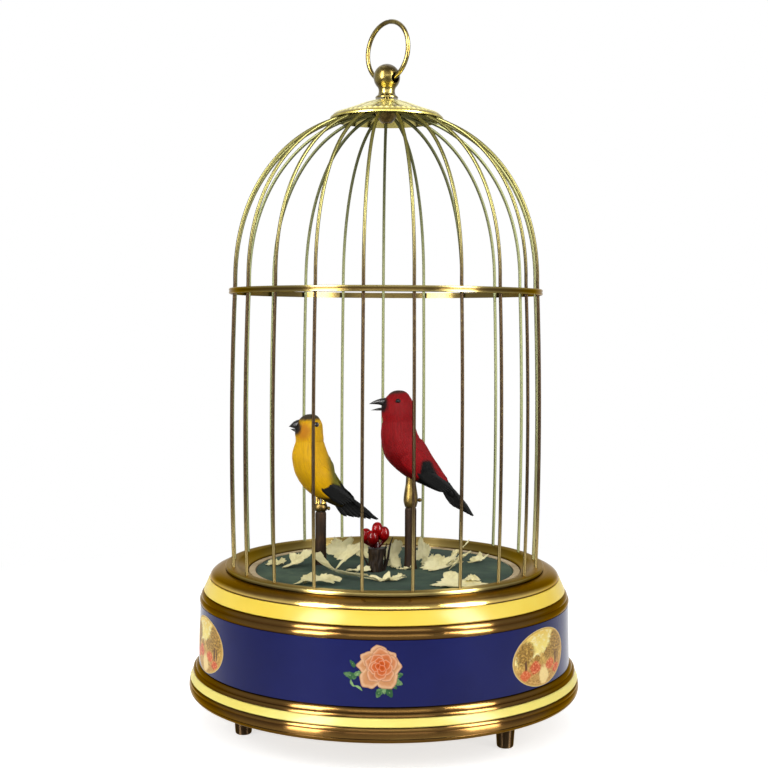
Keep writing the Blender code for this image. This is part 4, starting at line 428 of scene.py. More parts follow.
def berry_lacquer():
    paint = Paint("berry_lacquer", 0.14, specular=0.08)
    cloud = paint.noise(420.0, 3.0, 0.6)
    paint.colour(srgb(62, 0, 2))
    reds = {0.25: srgb(96, 0, 2), 0.6: srgb(168, 4, 8), 1.0: srgb(206, 24, 20)}
    paint.over(paint.step(paint.axis("Z"), 0.0730, 0.0785), paint.ramp(cloud, reds))
    return paint.bump(cloud, 0.1, 0.15)


def wood():
    paint = Paint("bellows_wood", 0.55)
    grain = paint.grain((900.0, 120.0, 900.0), 4.0, 0.6, 0.6)
    browns = {0.2: srgb(96, 62, 32), 0.6: srgb(150, 104, 58), 1.0: srgb(184, 138, 84)}
    paint.colour(paint.ramp(grain, browns))
    return paint.bump(grain, 0.3, 0.15)


def hide():
    paint = Paint("bellows_skin", 0.7)
    paint.colour(paint.mix(paint.noise(90.0, 3.0, 0.6), srgb(150, 118, 82), srgb(196, 166, 122)))
    return paint.bump(paint.cells(1400.0), 0.4, 0.15)


def petal_paint():
    """Printed petals: apricot to pink, deeper towards the heart, with a pale lip and a fine dark line."""
    paint = Paint("rose_print", 0.35)
    edge, mottle = paint.attribute("edge"), paint.noise(620.0, 4.0, 0.7)
    tone = edge * 0.55 - 0.18 + mottle * 0.42
    outer = {0.0: srgb(176, 104, 60), 0.35: srgb(204, 140, 92), 0.65: srgb(216, 170, 122)}
    paint.colour(paint.ramp(tone, {**outer, 1.0: srgb(230, 202, 158)}))
    heart = {0.0: srgb(170, 58, 10), 0.45: srgb(212, 92, 26), 1.0: srgb(230, 140, 66)}
    paint.over(paint.attribute("depth"), paint.ramp(tone, heart))
    paint.over(paint.step(edge, 0.70, 0.88) * (mottle * 0.9 - 0.05), srgb(232, 200, 166))
    return paint.over(paint.step(edge, 0.91, 0.98) * 0.6, srgb(146, 74, 42))


def leaf_paint():
    """Printed rose leaves: mottled green with a pale rib and a dark edge."""
    paint = Paint("rose_leaf_print", 0.35)
    edge = paint.attribute("edge")
    tone = paint.attribute("depth") * 0.45 + paint.noise(700.0, 3.0, 0.6) * 0.6
    paint.colour(paint.ramp(tone, {0.2: srgb(16, 52, 34), 0.5: srgb(50, 98, 58), 0.85: srgb(150, 186, 122)}))
    paint.over((1.0 - paint.step(edge, 0.02, 0.22)) * 0.6, srgb(164, 196, 130))
    return paint.over(paint.step(edge, 0.90, 0.97) * 0.6, srgb(22, 50, 38))


def meadow_paint():
    """A generic meadow in gold tones: sky, far trees, two near trees, flowering bushes and a path."""
    paint = Paint("meadow_print", 0.4)
    u, v, rim = (paint.attribute(k) for k in ("u", "v", "rim"))
    at = paint.vector(u, v)
    soft = paint.noise(5.0, 4.0, 0.7, at)
    leafy = paint.noise(15.0, 4.0, 0.75, at)
    brush = paint.noise(1.0, 3.0, 0.7, paint.vector(u * 26.0, v * 7.0))
    wobble = soft * 0.6 - 0.30

    def blob(colour, cx, cy, rx, ry, edge=0.30):
        """Lays an oval of a colour over the picture, its edge as uneven as foliage."""
        far = paint.length((u - cx) * (1.0 / rx), (v - cy) * (1.0 / ry)) + wobble * 1.9
        paint.over(1.0 - paint.step(far, 1.0 - edge, 1.0 + edge * 0.3), colour)

    sky = {0.45: srgb(252, 236, 150), 0.72: srgb(250, 228, 122), 1.0: srgb(236, 198, 88)}
    paint.colour(paint.ramp(v * 0.5 + 0.5, sky))
    paint.over(paint.step(soft, 0.48, 0.62) * 0.7, srgb(255, 246, 196))
    far_trees = {0.30: srgb(146, 104, 40), 0.5: srgb(206, 160, 72), 0.7: srgb(244, 214, 118)}
    paint.over(1.0 - paint.step(v + (wobble + u * -0.22), 0.06, 0.22), paint.ramp(brush, far_trees))
    grass = {0.3: srgb(134, 88, 34), 0.5: srgb(200, 150, 74), 0.7: srgb(240, 204, 122)}
    paint.over(1.0 - paint.step(v + wobble, -0.34, -0.20), paint.ramp(leafy, grass))
    blob(srgb(250, 222, 150), 0.05, -0.66, 0.20, 0.36)
    greens = {0.34: srgb(84, 62, 18), 0.48: srgb(150, 112, 38), 0.60: srgb(206, 160, 66)}
    foliage = paint.ramp(leafy, {**greens, 0.74: srgb(248, 220, 120)})
    for place in MEADOW_TREES:
        blob(foliage, *place)
    for place in MEADOW_TRUNKS:
        blob(srgb(92, 52, 22), *place, 0.2)
    for low, *place in MEADOW_BUSHES:
        flowers = {0.36: low, 0.54: srgb(224, 104, 52), 0.70: srgb(250, 212, 150)}
        blob(paint.ramp(leafy, flowers), *place)
    paint.over(paint.step(paint.noise(46.0, 2.0, 0.8, at), 0.56, 0.66) * 0.35, srgb(112, 70, 26))
    line = paint.step(rim, 0.935, 0.95) * (1.0 - paint.step(rim, 0.985, 0.995))
    paint.over(line, srgb(206, 164, 80))
    return paint.over(paint.step(rim, 0.98, 1.0), srgb(244, 226, 170))


# Places in the oval print, from -1 to 1: middle across and up, half width and half height; a bush starts
# with its colour
MEADOW_TREES = (
    (-0.62, 0.26, 0.34, 0.46), (0.60, 0.30, 0.36, 0.56), (0.22, 0.06, 0.18, 0.24), (-0.20, 0.00, 0.12, 0.16),
)
MEADOW_TRUNKS = ((-0.60, -0.20, 0.040, 0.26), (0.58, -0.18, 0.045, 0.28), (0.70, -0.16, 0.025, 0.24))
MEADOW_BUSHES = (
    (srgb(186, 44, 18), -0.28, -0.30, 0.20, 0.24), (srgb(204, 92, 40), 0.32, -0.34, 0.20, 0.22),
    (srgb(204, 92, 40), -0.62, -0.50, 0.20, 0.20), (srgb(186, 44, 18), 0.60, -0.56, 0.18, 0.18),
)

# Finishes that several pieces share: brown, middle and bright brass, or a dark and a bright one
MOULDING = turned_brass(
    "moulding_brass", (0.046, 0.021, 0.006, 1), (0.100, 0.055, 0.015, 1), (0.52, 0.37, 0.110, 1), 0.20)
RAIL = turned_brass(
    "rail_brass", (0.054, 0.032, 0.009, 1), (0.130, 0.096, 0.032, 1), (0.33, 0.28, 0.11, 1), 0.30)
FOOT = turned_brass(
    "foot_brass", (0.016, 0.009, 0.005, 1), (0.034, 0.021, 0.010, 1), (0.09, 0.06, 0.03, 1), 0.40)
WIRE = wire_brass()
CROWN = embossed_gold()
GOLD = plain_brass("finial_brass", (0.052, 0.036, 0.010, 1), (0.165, 0.130, 0.040, 1), 0.22)
FERRULE = plain_brass("ferrule_brass", (0.035, 0.022, 0.007, 1), (0.120, 0.082, 0.024, 1), 0.38, 300.0)
GILT = plain_brass("gilt_brass", (0.22, 0.13, 0.03, 1), (0.52, 0.38, 0.10, 1), 0.2, 300.0)
BLUE = enamel("blue_enamel", srgb(25, 31, 94), srgb(21, 26, 82), 0.14, 0.10)
CREAM_DEEP = enamel("cream_enamel_deep", srgb(252, 226, 100), srgb(246, 212, 76), 0.22, 0.085)
CREAM = enamel("cream_enamel", srgb(252, 238, 134), srgb(248, 230, 116), 0.22, 0.085)
BARK = bark("stump_bark", srgb(14, 8, 5), srgb(38, 27, 16), srgb(96, 76, 46))
POST = bark("post_bark", srgb(20, 12, 4), srgb(50, 32, 13), srgb(104, 72, 34), 0.6)


# Mesh building; every shape is written in millimetres

UP, BACKWARDS = Vector((0.0, 0.0, 1.0)), Vector((0.0, 1.0, 0.0))


def added(name, data):
    """An object of this data in the scene."""
    obj = bpy.data.objects.new(name, data)
    bpy.context.scene.collection.objects.link(obj)
    return obj


def piece(name, verts, faces, paint, body, stands_for=(), facts=None, sharp=38.0, weld=False):
    mesh = bpy.data.meshes.new(name)
    mesh.from_pydata([Vector(v) * MM for v in verts], [], faces)
    for key, values in (facts or {}).items():
        layer = mesh.attributes.new(key, "FLOAT", "POINT")
        layer.data.foreach_set("value", values)
    shape = bmesh.new()
    shape.from_mesh(mesh)
    if weld:
        bmesh.ops.remove_doubles(shape, verts=shape.verts, dist=WELD_REACH)
    bmesh.ops.recalc_face_normals(shape, faces=shape.faces)
    shape.to_mesh(mesh)
    shape.free()
    mesh.shade_smooth()
    mesh.set_sharp_from_angle(angle=math.radians(sharp))
    mesh.materials.append(paint.mat)
    obj = added(name, mesh)
    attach(obj, body)
    if stands_for:
        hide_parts(*stands_for)
    return obj


class Heap:
    """Gathers several closed shapes and their point facts into one mesh."""

    def __init__(self, *facts):
        self.verts, self.faces = [], []
        self.facts = {name: [] for name in facts}

    def add(self, verts, faces, **facts):
        start = len(self.verts)
        self.verts += [Vector(v) for v in verts]
        self.faces += [tuple(start + i for i in face) for face in faces]
        for name, values in self.facts.items():
            given = facts.get(name, 0.0)
            values += list(given) if hasattr(given, "__len__") else [given] * len(verts)

    def piece(self, name, paint, body, stands_for=(), slot=None, sharp=38.0, weld=False):
        piece(name, self.verts, self.faces, paint, body, stands_for, self.facts, sharp, weld)


def angles(count):
    """Equal steps once round."""
    return [math.tau * i / count for i in range(count)]


def around(turn, r, z, at=(0.0, 0.0)):
    """A point at a turn from the front, towards the right."""
    return (at[0] + r * math.sin(turn), at[1] - r * math.cos(turn), z)


def grid_faces(rows, columns, round_rows=False, round_columns=True):
    faces = []
    for i in range(rows if round_rows else rows - 1):
        for j in range(columns if round_columns else columns - 1):
            k, m = (i + 1) % rows, (j + 1) % columns
            faces.append((i * columns + j, i * columns + m, k * columns + m, k * columns + j))
    return faces


def end_faces(count, sides):
    """The first and the last ring of a tube with this many points, each as one face."""
    return [tuple(range(sides)), tuple(range(count - sides, count))]


def under_faces(faces, count):
    """The same faces for a sheet's underside, which has its own points after the first ones."""
    return [tuple(count + i for i in reversed(face)) for face in faces]


def sheet_faces(rows, columns, way=1):
    """Faces of a thin sheet: its upper side, its underside and the strip round its edge."""
    count = rows * columns
    upper = grid_faces(rows, columns, round_columns=False)
    border = list(range(columns)) + [i * columns + columns - 1 for i in range(1, rows)]
    border += [(rows - 1) * columns + j for j in reversed(range(columns - 1))]
    border += [i * columns for i in reversed(range(1, rows - 1))]
    border = border[::way]
    strip = [(a, b, count + b, count + a) for a, b in zip(border, border[1:] + border[:1])]
    return upper + under_faces(upper, count) + strip


def disc_faces(rings, count):
    """Faces of a disc: a middle point, then rings of points."""
    faces = [(0, 1 + k, 1 + (k + 1) % count) for k in range(count)]
    for ring in range(rings - 1):
        for k in range(count):
            a, b = 1 + ring * count + k, 1 + ring * count + (k + 1) % count
            faces.append((a, b, b + count, a + count))
    return faces


def lathe(name, profile, paint, solid, at=(0.0, 0.0), segments=RING_SEGMENTS, loop=True):
    """A turned piece for one solid; its profile holds (radius, height) or (radius, height, crest), crest
    being the painted highlight on turned brass.
    """
    points = [(p[0], p[1], p[2] if len(p) > 2 else 0.5) for p in profile]
    verts = [around(turn, r, z, at) for turn in angles(segments) for r, z, crest in points]
    crests = [crest for r, z, crest in points] * segments
    faces = grid_faces(segments, len(points), round_rows=True, round_columns=loop)
    flat = [f for f in faces if len({tuple(round(x, 6) for x in verts[i]) for i in f}) > 2]
    return piece(name, verts, flat, paint, "base", (solid,), {"crest": crests}, weld=True)


def smooth(points, steps):
    """A Catmull-Rom curve through points of any length."""
    out = []
    last = len(points) - 1
    for i in range(last):
        p0, p1, p2, p3 = (points[max(0, min(last, k))] for k in (i - 1, i, i + 1, i + 2))
        for s in range(steps):
            t = s / steps
            point = []
            for a, b, c, d in zip(p0, p1, p2, p3):
                square, cube = 2 * a - 5 * b + 4 * c - d, 3 * b - a - 3 * c + d
                point.append(0.5 * (2 * b + (c - a) * t + square * t * t + cube * t ** 3))
            out.append(tuple(point))
    out.append(tuple(points[-1]))
    return out


def sweep(points, radii, sides):
    """Verts and faces of a closed round tube along points, with one radius or one for each point."""
    points = [Vector(p) for p in points]
    radii = radii if hasattr(radii, "__len__") else [radii] * len(points)
    verts, side = [], None
    for i, p in enumerate(points):
        along = (points[min(i + 1, len(points) - 1)] - points[max(i - 1, 0)]).normalized()
        if side is None:
            side = along.orthogonal().normalized()
        side = (side - along * side.dot(along)).normalized()
        up = along.cross(side)
        verts += [p + (side * math.cos(a) + up * math.sin(a)) * radii[i] for a in angles(sides)]
    return verts, grid_faces(len(points), sides) + end_faces(len(verts), sides)


def standing(low, points):
    """Outline points whose heights start at low."""
    return [(r, low + z, *crest) for r, z, *crest in points]


def arc(centre, half, start, end, steps, crests):
    """Part of an oval as outline points, from one angle and crest value to another."""
    out = []
    for i in range(steps + 1):
        a = math.radians(start + (end - start) * i / steps)
        crest = crests[0] + (crests[1] - crests[0]) * i / steps
        out.append((centre[0] + half[0] * math.cos(a), centre[1] + half[1] * math.sin(a), crest))
    return out


def bead(start, end, bulge, steps=10):
    """A convex bead down an outline: crest values for a painted gold highlight on its crest, painted brown
    shade at its edges.
    """
    along = Vector(end) - Vector(start)
    out_way = Vector((-along.y, along.x)).normalized()
    points = []
    for i in range(steps + 1):
        s = i / steps
        high = 4.0 * s * (1.0 - s)
        p = Vector(start) + along * s + out_way * 4.0 * bulge * s * (1.0 - s)
        points.append((p.x, p.y, 0.62 * high ** 1.6))
    return points


# Camera and studio, in metres; the lens and the sensor are in millimetres

LENS, SENSOR_WIDTH = 61.97, 36.0
SHIFT_X, SHIFT_Y = -0.0013, 0.0938
CAMERA_PLACE, CAMERA_TILT, CAMERA_ROLL = (0.0, -0.5309, 0.1614), 0.10, 0.005
LAMP_AIM = (0.0, 0.0, 0.11)
SKY_COLOUR, SKY_STRENGTH = (1.0, 0.99, 0.97, 1.0), 0.34
FLOOR_LIFT = 0.68
FLOOR_R, FLOOR_FADE = 6.0, (0.17, 0.42)
# Each lamp: azimuth in degrees, height, distance, width, tallness, watts
LAMPS = {
    "left_box": (-45.0, 0.55, 1.15, 0.48, 0.90, 4.4),
    "front_box": (-4.0, 0.90, 1.05, 1.25, 0.50, 5.6),
    "right_box": (56.0, 0.55, 1.15, 0.46, 0.90, 3.2),
    "top": (180.0, 1.15, 0.35, 0.8, 0.8, 2.2),
    "left_card": (-44.0, 0.55, 1.30, 0.46, 1.50, 115.0),
    "right_card": (56.0, 0.55, 1.30, 0.46, 1.50, 125.0),
    "front_card": (4.0, 0.52, 1.20, 1.10, 0.20, 6.0),
}


def camera():
    data = bpy.data.cameras.new("camera")
    data.lens, data.sensor_width = LENS, SENSOR_WIDTH
    data.shift_x, data.shift_y = SHIFT_X, SHIFT_Y
    data.clip_start, data.clip_end = 0.01, 50.0
    obj = added("camera", data)
    tilt = Matrix.Rotation(math.pi / 2 - CAMERA_TILT, 4, "X")
    roll = Matrix.Rotation(CAMERA_ROLL, 4, "Z")
    obj.matrix_world = Matrix.Translation(CAMERA_PLACE) @ tilt @ roll
    bpy.context.scene.camera = obj


def lamp(name, azimuth, height, distance, width, tall, power):
    """A soft area lamp, from the front at 0 degrees towards the right; a card lights gloss only."""
    data = bpy.data.lights.new(name, "AREA")
    data.shape = "RECTANGLE"
    data.size, data.size_y = width, tall
    data.energy = power
    obj = added(name, data)
    obj.location = around(math.radians(azimuth), distance, height)
    obj.rotation_euler = (Vector(LAMP_AIM) - obj.location).to_track_quat("-Z", "Y").to_euler()
    obj.visible_diffuse = not name.endswith("card")


def seen_directly(tree):
    """1 for camera, glossy and transmission rays, which see the white background."""
    path = tree.nodes.new("ShaderNodeLightPath")
    rays = [Value(tree, path.outputs[f"Is {kind} Ray"]) for kind in ("Camera", "Glossy", "Transmission")]
    return rays[0].most(rays[1]).most(rays[2])


def studio():
    """Soft light from all round, in front of a white background, with boxes and cards."""
    world = bpy.data.worlds.new("studio")
    bpy.context.scene.world = world
    world.use_nodes = True
    tree = world.node_tree
    soft = tree.nodes["Background"]
    feed(soft.inputs["Color"], SKY_COLOUR)
    feed(soft.inputs["Strength"], SKY_STRENGTH)
    white = node(tree, "Background", {"Color": WHITE, "Strength": 1.0})
    blend = node(tree, "MixShader", {0: seen_directly(tree), 1: Value(tree, soft.outputs[0]), 2: white})
    feed(tree.nodes["World Output"].inputs[0], blend)
    for name, values in LAMPS.items():
        lamp(name, *values)
    bpy.context.scene.view_settings.view_transform = "Standard"


def floor():
    """A pale floor that fades to the white background well outside the shadow."""
    paint = Paint("pale_floor", 0.9)
    tree = paint.tree
    far = paint.step(paint.length(paint.axis("X"), paint.axis("Y")), *FLOOR_FADE)
    greys = ((0.80, 0.80, 0.80, 1), (0.84, 0.84, 0.84, 1))
    paint.colour(paint.mix(paint.noise(60.0, 2.0, 0.5), *greys))
    seen = seen_directly(tree)
    glow = node(tree, "Emission", {"Color": WHITE, "Strength": seen * FLOOR_LIFT})
    lit = node(tree, "AddShader", {0: Value(tree, paint.shader.outputs[0]), 1: glow})
    white = node(tree, "Emission", {"Color": WHITE, "Strength": 1.0})
    blend = node(tree, "MixShader", {0: seen * far, 1: lit, 2: white})
    feed(tree.nodes["Material Output"].inputs[0], blend)
    shape = bmesh.new()
    bmesh.ops.create_circle(shape, cap_ends=True, segments=96, radius=FLOOR_R)
    mesh = bpy.data.meshes.new("studio_floor")
    shape.to_mesh(mesh)
    shape.free()
    mesh.materials.append(paint.mat)
    obj = added("studio_floor", mesh)


# Base

def lower_moulding():
    """Two beads under the drum, the slope of the cream line, a bead, and a round rim with a groove."""
    # Crest values paint highlights on the beads and the rim, with painted shade between them
    outline = bead((75.2, 26.2), (76.3, 24.5), 0.30) + bead((76.3, 24.5), (77.4, 23.2), 0.30)
    outline += [(77.4, 23.2, 0.0), (76.4, 23.2, 0.0), (77.6, 19.7, 0.0), (78.4, 19.7, 0.0)]
    outline += bead((78.45, 19.65), (78.7, 18.3), 0.2, 6)
    outline += arc(RIM, RIM_HALF, 22.0, -18.0, 8, (0.1, 0.7)) + [(78.55, 15.8, 0.0)]
    outline += arc(RIM, RIM_HALF, -26.0, -80.0, 10, (0.45, 0.1))
    outline += [(76.7, 14.1, 0.2), (76.7, 16.7), (70.7, 16.7), (70.7, 17.7), (75.3, 18.3), (73.1, 25.6)]
    outline += [(73.1, 29.7), (73.9, 29.7), (73.9, 26.2)]
    lathe("turned_lower_moulding", outline, MOULDING, "lower_moulding")


def upper_moulding():
    """A round shoulder in four facets, the slope of the cream line and two beads over the drum."""
    outline = []
    # Crest values paint a highlight that is strongest on the shoulder's lower edge
    for start, end, steps, crests in (
        (90.0, 70.0, 4, (0.75, 0.2)), (66.0, 44.0, 5, (0.55, 0.65)),
        (40.0, 24.0, 5, (0.55, 0.85)), (20.0, 8.0, 4, (0.95, 1.30)),
    ):
        outline += arc(SHOULDER, SHOULDER_HALF, start, end, steps, crests)
    outline += [(70.25, 60.2, 0.3), (69.8, 60.3, 0.0), (71.9, 54.7, 0.0)]
    outline += bead((72.9, 54.7), (73.8, 52.8), 0.34) + bead((73.8, 52.8), (74.3, 50.5), 0.42)
    outline += [(74.3, 50.5, 0.0), (73.2, 50.5), (73.2, 47.0), (72.4, 47.0), (72.4, 51.5), (68.3, 59.6)]
    outline += [(50.0, 59.6), (50.0, 60.6), (60.1, 60.6), (60.1, 63.6)]
    lathe("turned_upper_moulding", outline, MOULDING, "upper_moulding")


def cream_line(name, top, low, paint):
    """A thin enamel line on the slope from its top to its low edge, with soft corners."""
    (top_r, top_z), (low_r, low_z) = top, low
    outline = [(top_r - 0.15, top_z), (top_r + 0.1, top_z - 0.25), (low_r + 0.02, low_z + 0.3)]
    outline += [(low_r - 0.15, low_z), (low_r - 0.6, low_z), (top_r - 0.6, top_z)]
    lathe(f"{name}_enamel_line", outline, paint, f"{name}_cream_band")


def feet():
    # The crest values paint highlights on the foot's beads and painted shade between them
    profile = [(0.0, 18.2), (1.6, 18.2), (1.6, 14.7), (3.9, 14.7, 0.3), (4.3, 14.3, 0.9), (4.3, 13.5, 0.4)]
    profile += [(4.05, 13.0, 0.1), (3.25, 0.9, 0.5), (3.1, 0.35, 0.9), (2.7, 0.0, 0.4), (0.0, 0.0)]
    for i in range(3):
        at = around(math.radians(FIRST_FOOT + 120.0 * i), FOOT_CIRCLE_R, 0.0)
        lathe(f"turned_foot_{i + 1}", profile, FOOT, f"foot_{i + 1}", at, 40, loop=False)


def base():
    lower_moulding()
    upper_moulding()
    band = [(DRUM_TOP_R, DRUM_TOP), (DRUM_LOW_R, DRUM_LOW)]
    band += [(DRUM_LOW_R - DRUM_WALL, DRUM_LOW), (DRUM_TOP_R - DRUM_WALL, DRUM_TOP)]
    lathe("enamel_drum", band, BLUE, "blue_drum_band")
    cream_line("upper", (70.7, 60.0), (72.8, 55.0), CREAM_DEEP)
    cream_line("lower", (77.3, 22.9), (78.5, 20.0), CREAM)
    feet()


# Cage

def bar(turn):
    """One bar's centre line from the base ring up and over to the hub."""
    run = [(BAR_CIRCLE_R, BAR_LOW - 0.3)]
    for s in (i / 10 for i in range(1, 10)):
        bow = 4.0 * BAR_BOW * s * (1.0 - s)
        run.append((BAR_CIRCLE_R - BAR_LEAN_IN * s + bow, BAR_LOW + BAR_RISE * s))
    last = math.acos(BAR_END_R / DOME_R)
    for i in range(37):
        radius = DOME_R * math.cos(last * i / 36)
        rise = max(0.0, 1.0 - (radius / DOME_R) ** DOME_FULLNESS) ** (1.0 / DOME_FULLNESS)
        run.append((radius, DOME_LOW + DOME_RISE * rise))
    return [around(turn, r, z) for r, z in run]


def cage():
    each = BAR_COUNT // BAR_GROUPS
    for group in range(BAR_GROUPS):
        heap = Heap()
        for k in range(each):
            turn = FIRST_BAR + math.tau * (each * group + k) / BAR_COUNT
            heap.add(*sweep(bar(turn), BAR_R, 12))
        stands_for = (f"cage_bars_{group + 1}",)
        heap.piece(f"bar_wires_{group + 1}", WIRE, "base", stands_for, "polished_brass", 60.0)
    # The crest values of both rings paint highlights on their beads and painted shade in their grooves
    ring = arc((63.7, 64.7), (0.5, 0.5), 90.0, 0.0, 5, (0.6, 0.9)) + [(64.2, 63.9, 0.3), (59.8, 63.9, 0.2)]
    ring += [(55.2, 62.1, 0.1), (55.2, 62.8, 0.2), (55.8, 63.15, 0.8), (59.4, 64.85, 0.3), (60.0, 65.2, 0.7)]
    lathe("turned_base_ring", ring, RAIL, "cage_base_ring")
    band = [(61.8, 174.9, 0.7), (62.14, 174.65, 1.0), (62.14, 174.15, 0.3), (62.0, 173.75, 0.0)]
    band += [(62.14, 173.35, 0.3), (62.14, 172.85, 0.9), (61.8, 172.6, 0.5), (61.45, 172.6), (61.45, 174.9)]
    lathe("turned_mid_ring", band, RAIL, "cage_mid_ring")


def cap_height(share):
    """Height of the cap over a share of its radius: a low cone with a turned-down rim."""
    line = ((0.0, 1.0), (0.25, 0.93), (0.46, 0.75), (0.66, 0.53), (0.91, 0.29), (0.985, 0.16), (1.0, 0.0))
    for (a, high), (b, low) in zip(line, line[1:]):
        if share <= b:
            return CAP_RIM_Z + (CAP_TOP_Z - CAP_RIM_Z) * (high + (low - high) * (share - a) / (b - a))
    return CAP_RIM_Z


def leaf_relief(r, turn, count, phase, low, high):
    """0 to 1: a ring of leaves with midribs and lobes, between two radii."""
    if not low < r < high:
        return 0.0
    t = (r - low) / (high - low)
    swing = abs(((turn * count / math.tau + phase) % 1.0) - 0.5) * 2.0
    width = math.sin(math.pi * min(1.0, t * 0.85 + 0.12)) ** 0.7
    leaf = max(0.0, 1.0 - (swing / max(0.05, width)) ** 2)
    rib = 0.35 * math.exp(-((swing / 0.12) ** 2))
    lobes = 0.12 * math.sin(t * 18.0 - swing * 5.0)
    return max(0.0, min(1.0, leaf ** 0.5 * 0.9 - rib + lobes)) if leaf > 0 else 0.0


def relief(r, turn):
    """0 to 1: two rings of leaves inside a beaded edge."""
    edge = 0.6 + 0.4 * math.cos(turn * 60) if 19.6 < r < 21.2 else 0.0
    return max(leaf_relief(r, turn, 10, 0.0, 4.6, 12.6), leaf_relief(r, turn, 14, 0.5, 10.6, 19.4), edge)


def crown():
    """The embossed cap, hollow below, and the hub that the bars run into."""
    verts, raised = [], []
    turns, steps = 240, 40
    heights = [(CAP_R * s, cap_height(s)) for s in (0.99 * i / steps for i in range(4, steps + 1))]
    outline = heights + [(CAP_R, CAP_RIM_Z + 0.5), (CAP_R - 0.1, CAP_RIM_Z), (CAP_R - 0.3, CAP_RIM_Z)]
    outline += [(r - 0.3, z - 0.7) for r, z in reversed(heights[:-1:3])]
    for turn in angles(turns):
        for k, (r, z) in enumerate(outline):
            up = relief(r, turn) if k < len(heights) else 0.0
            drop = 0.3 * (1.0 - up) if k < len(heights) - 1 else 0.0
            verts.append(around(turn, r, max(z - drop, CAP_RIM_Z)))
            raised.append(up if k < len(heights) else 0.25)
    faces = grid_faces(turns, len(outline), round_rows=True)
    facts = {"raised": raised}
    piece("embossed_crown", verts, faces, CROWN, "base", ("crown_cap",), facts, 50.0)
    hub = [(3.8, 247.7), (4.8, 246.9), (4.8, 244.9), (4.5, 243.6), (3.9, 242.4), (3.2, 241.3), (2.6, 240.5)]
    hub += [(2.0, 239.9), (1.5, 239.8), (1.5, 247.7)]
    lathe("turned_hub", hub, FERRULE, "crown_hub", segments=48)


def finial():
    """Ball, neck and foot as one turning, with the hole that the loose ring hangs in."""
    foot = CAP_TOP_Z + 0.3
    profile = [(0.0, BALL_Z + BALL_R, 0.6)]
    profile += arc((0.0, BALL_Z), (BALL_R, BALL_R), 84.0, -46.0, 22, (0.9, 0.3))
    profile += smooth(standing(foot, ((3.4, 3.9), (3.22, 3.2), (3.25, 2.2), (3.6, 1.3), (4.2, 0.8))), 5)
    profile += standing(foot, ((4.45, 0.5, 0.9), (4.5, 0.3, 0.9), (4.45, 0.0, 0.2), (1.2, 0.0)))
    profile += [(1.2, STEM_LOW), (0.0, STEM_LOW)]
    obj = lathe("turned_finial", profile, GOLD, "ring_finial", segments=64, loop=False)
    way = Vector((math.cos(RING_TURN), math.sin(RING_TURN), 0.0))
    centre = Vector((0.0, 0.0, RING_HINGE_Z))
    verts, faces = sweep([centre + way * t for t in (-8, -4, 0, 4, 8)], 2.0, 32)
    mesh = bpy.data.meshes.new("ring_hole")
    mesh.from_pydata([v * MM for v in verts], [], faces)
    hole = added("ring_hole", mesh)
    drill = obj.modifiers.new("hole", "BOOLEAN")
    drill.operation, drill.object, drill.solver = "DIFFERENCE", hole, "EXACT"
    bpy.context.view_layer.update()
    cut = bpy.data.meshes.new_from_object(obj.evaluated_get(bpy.context.evaluated_depsgraph_get()))
    obj.modifiers.clear()
    obj.data = cut
    bpy.data.objects.remove(hole)


def hanging_ring():
    """The loose ring of round wire, its ends meeting in a fine seam at the top."""
    place = Matrix.Translation((0, 0, RING_HINGE_Z)) @ Matrix.Rotation(RING_TURN, 4, "Z")
    place = place @ Matrix.Rotation(RING_LEAN, 4, "X")
    rows, sides, verts = 96, 14, []
    for a in angles(rows):
        gap = abs(math.remainder(a - math.pi / 2, math.tau)) * RING_R
        wire_r = RING_WIRE_R - 0.10 * math.exp(-((gap / 0.25) ** 2))
        for b in angles(sides):
            r = RING_R + wire_r * math.cos(b)
            point = Vector((r * math.cos(a), wire_r * math.sin(b), RING_DROP + r * math.sin(a)))
            verts.append(place @ point)
    faces = grid_faces(rows, sides, round_rows=True)
    stands_for = ("hanging_ring",)
    piece("ring_wire", verts, faces, GOLD, "hanging_ring", stands_for, sharp=80.0)


# Floor of the cage

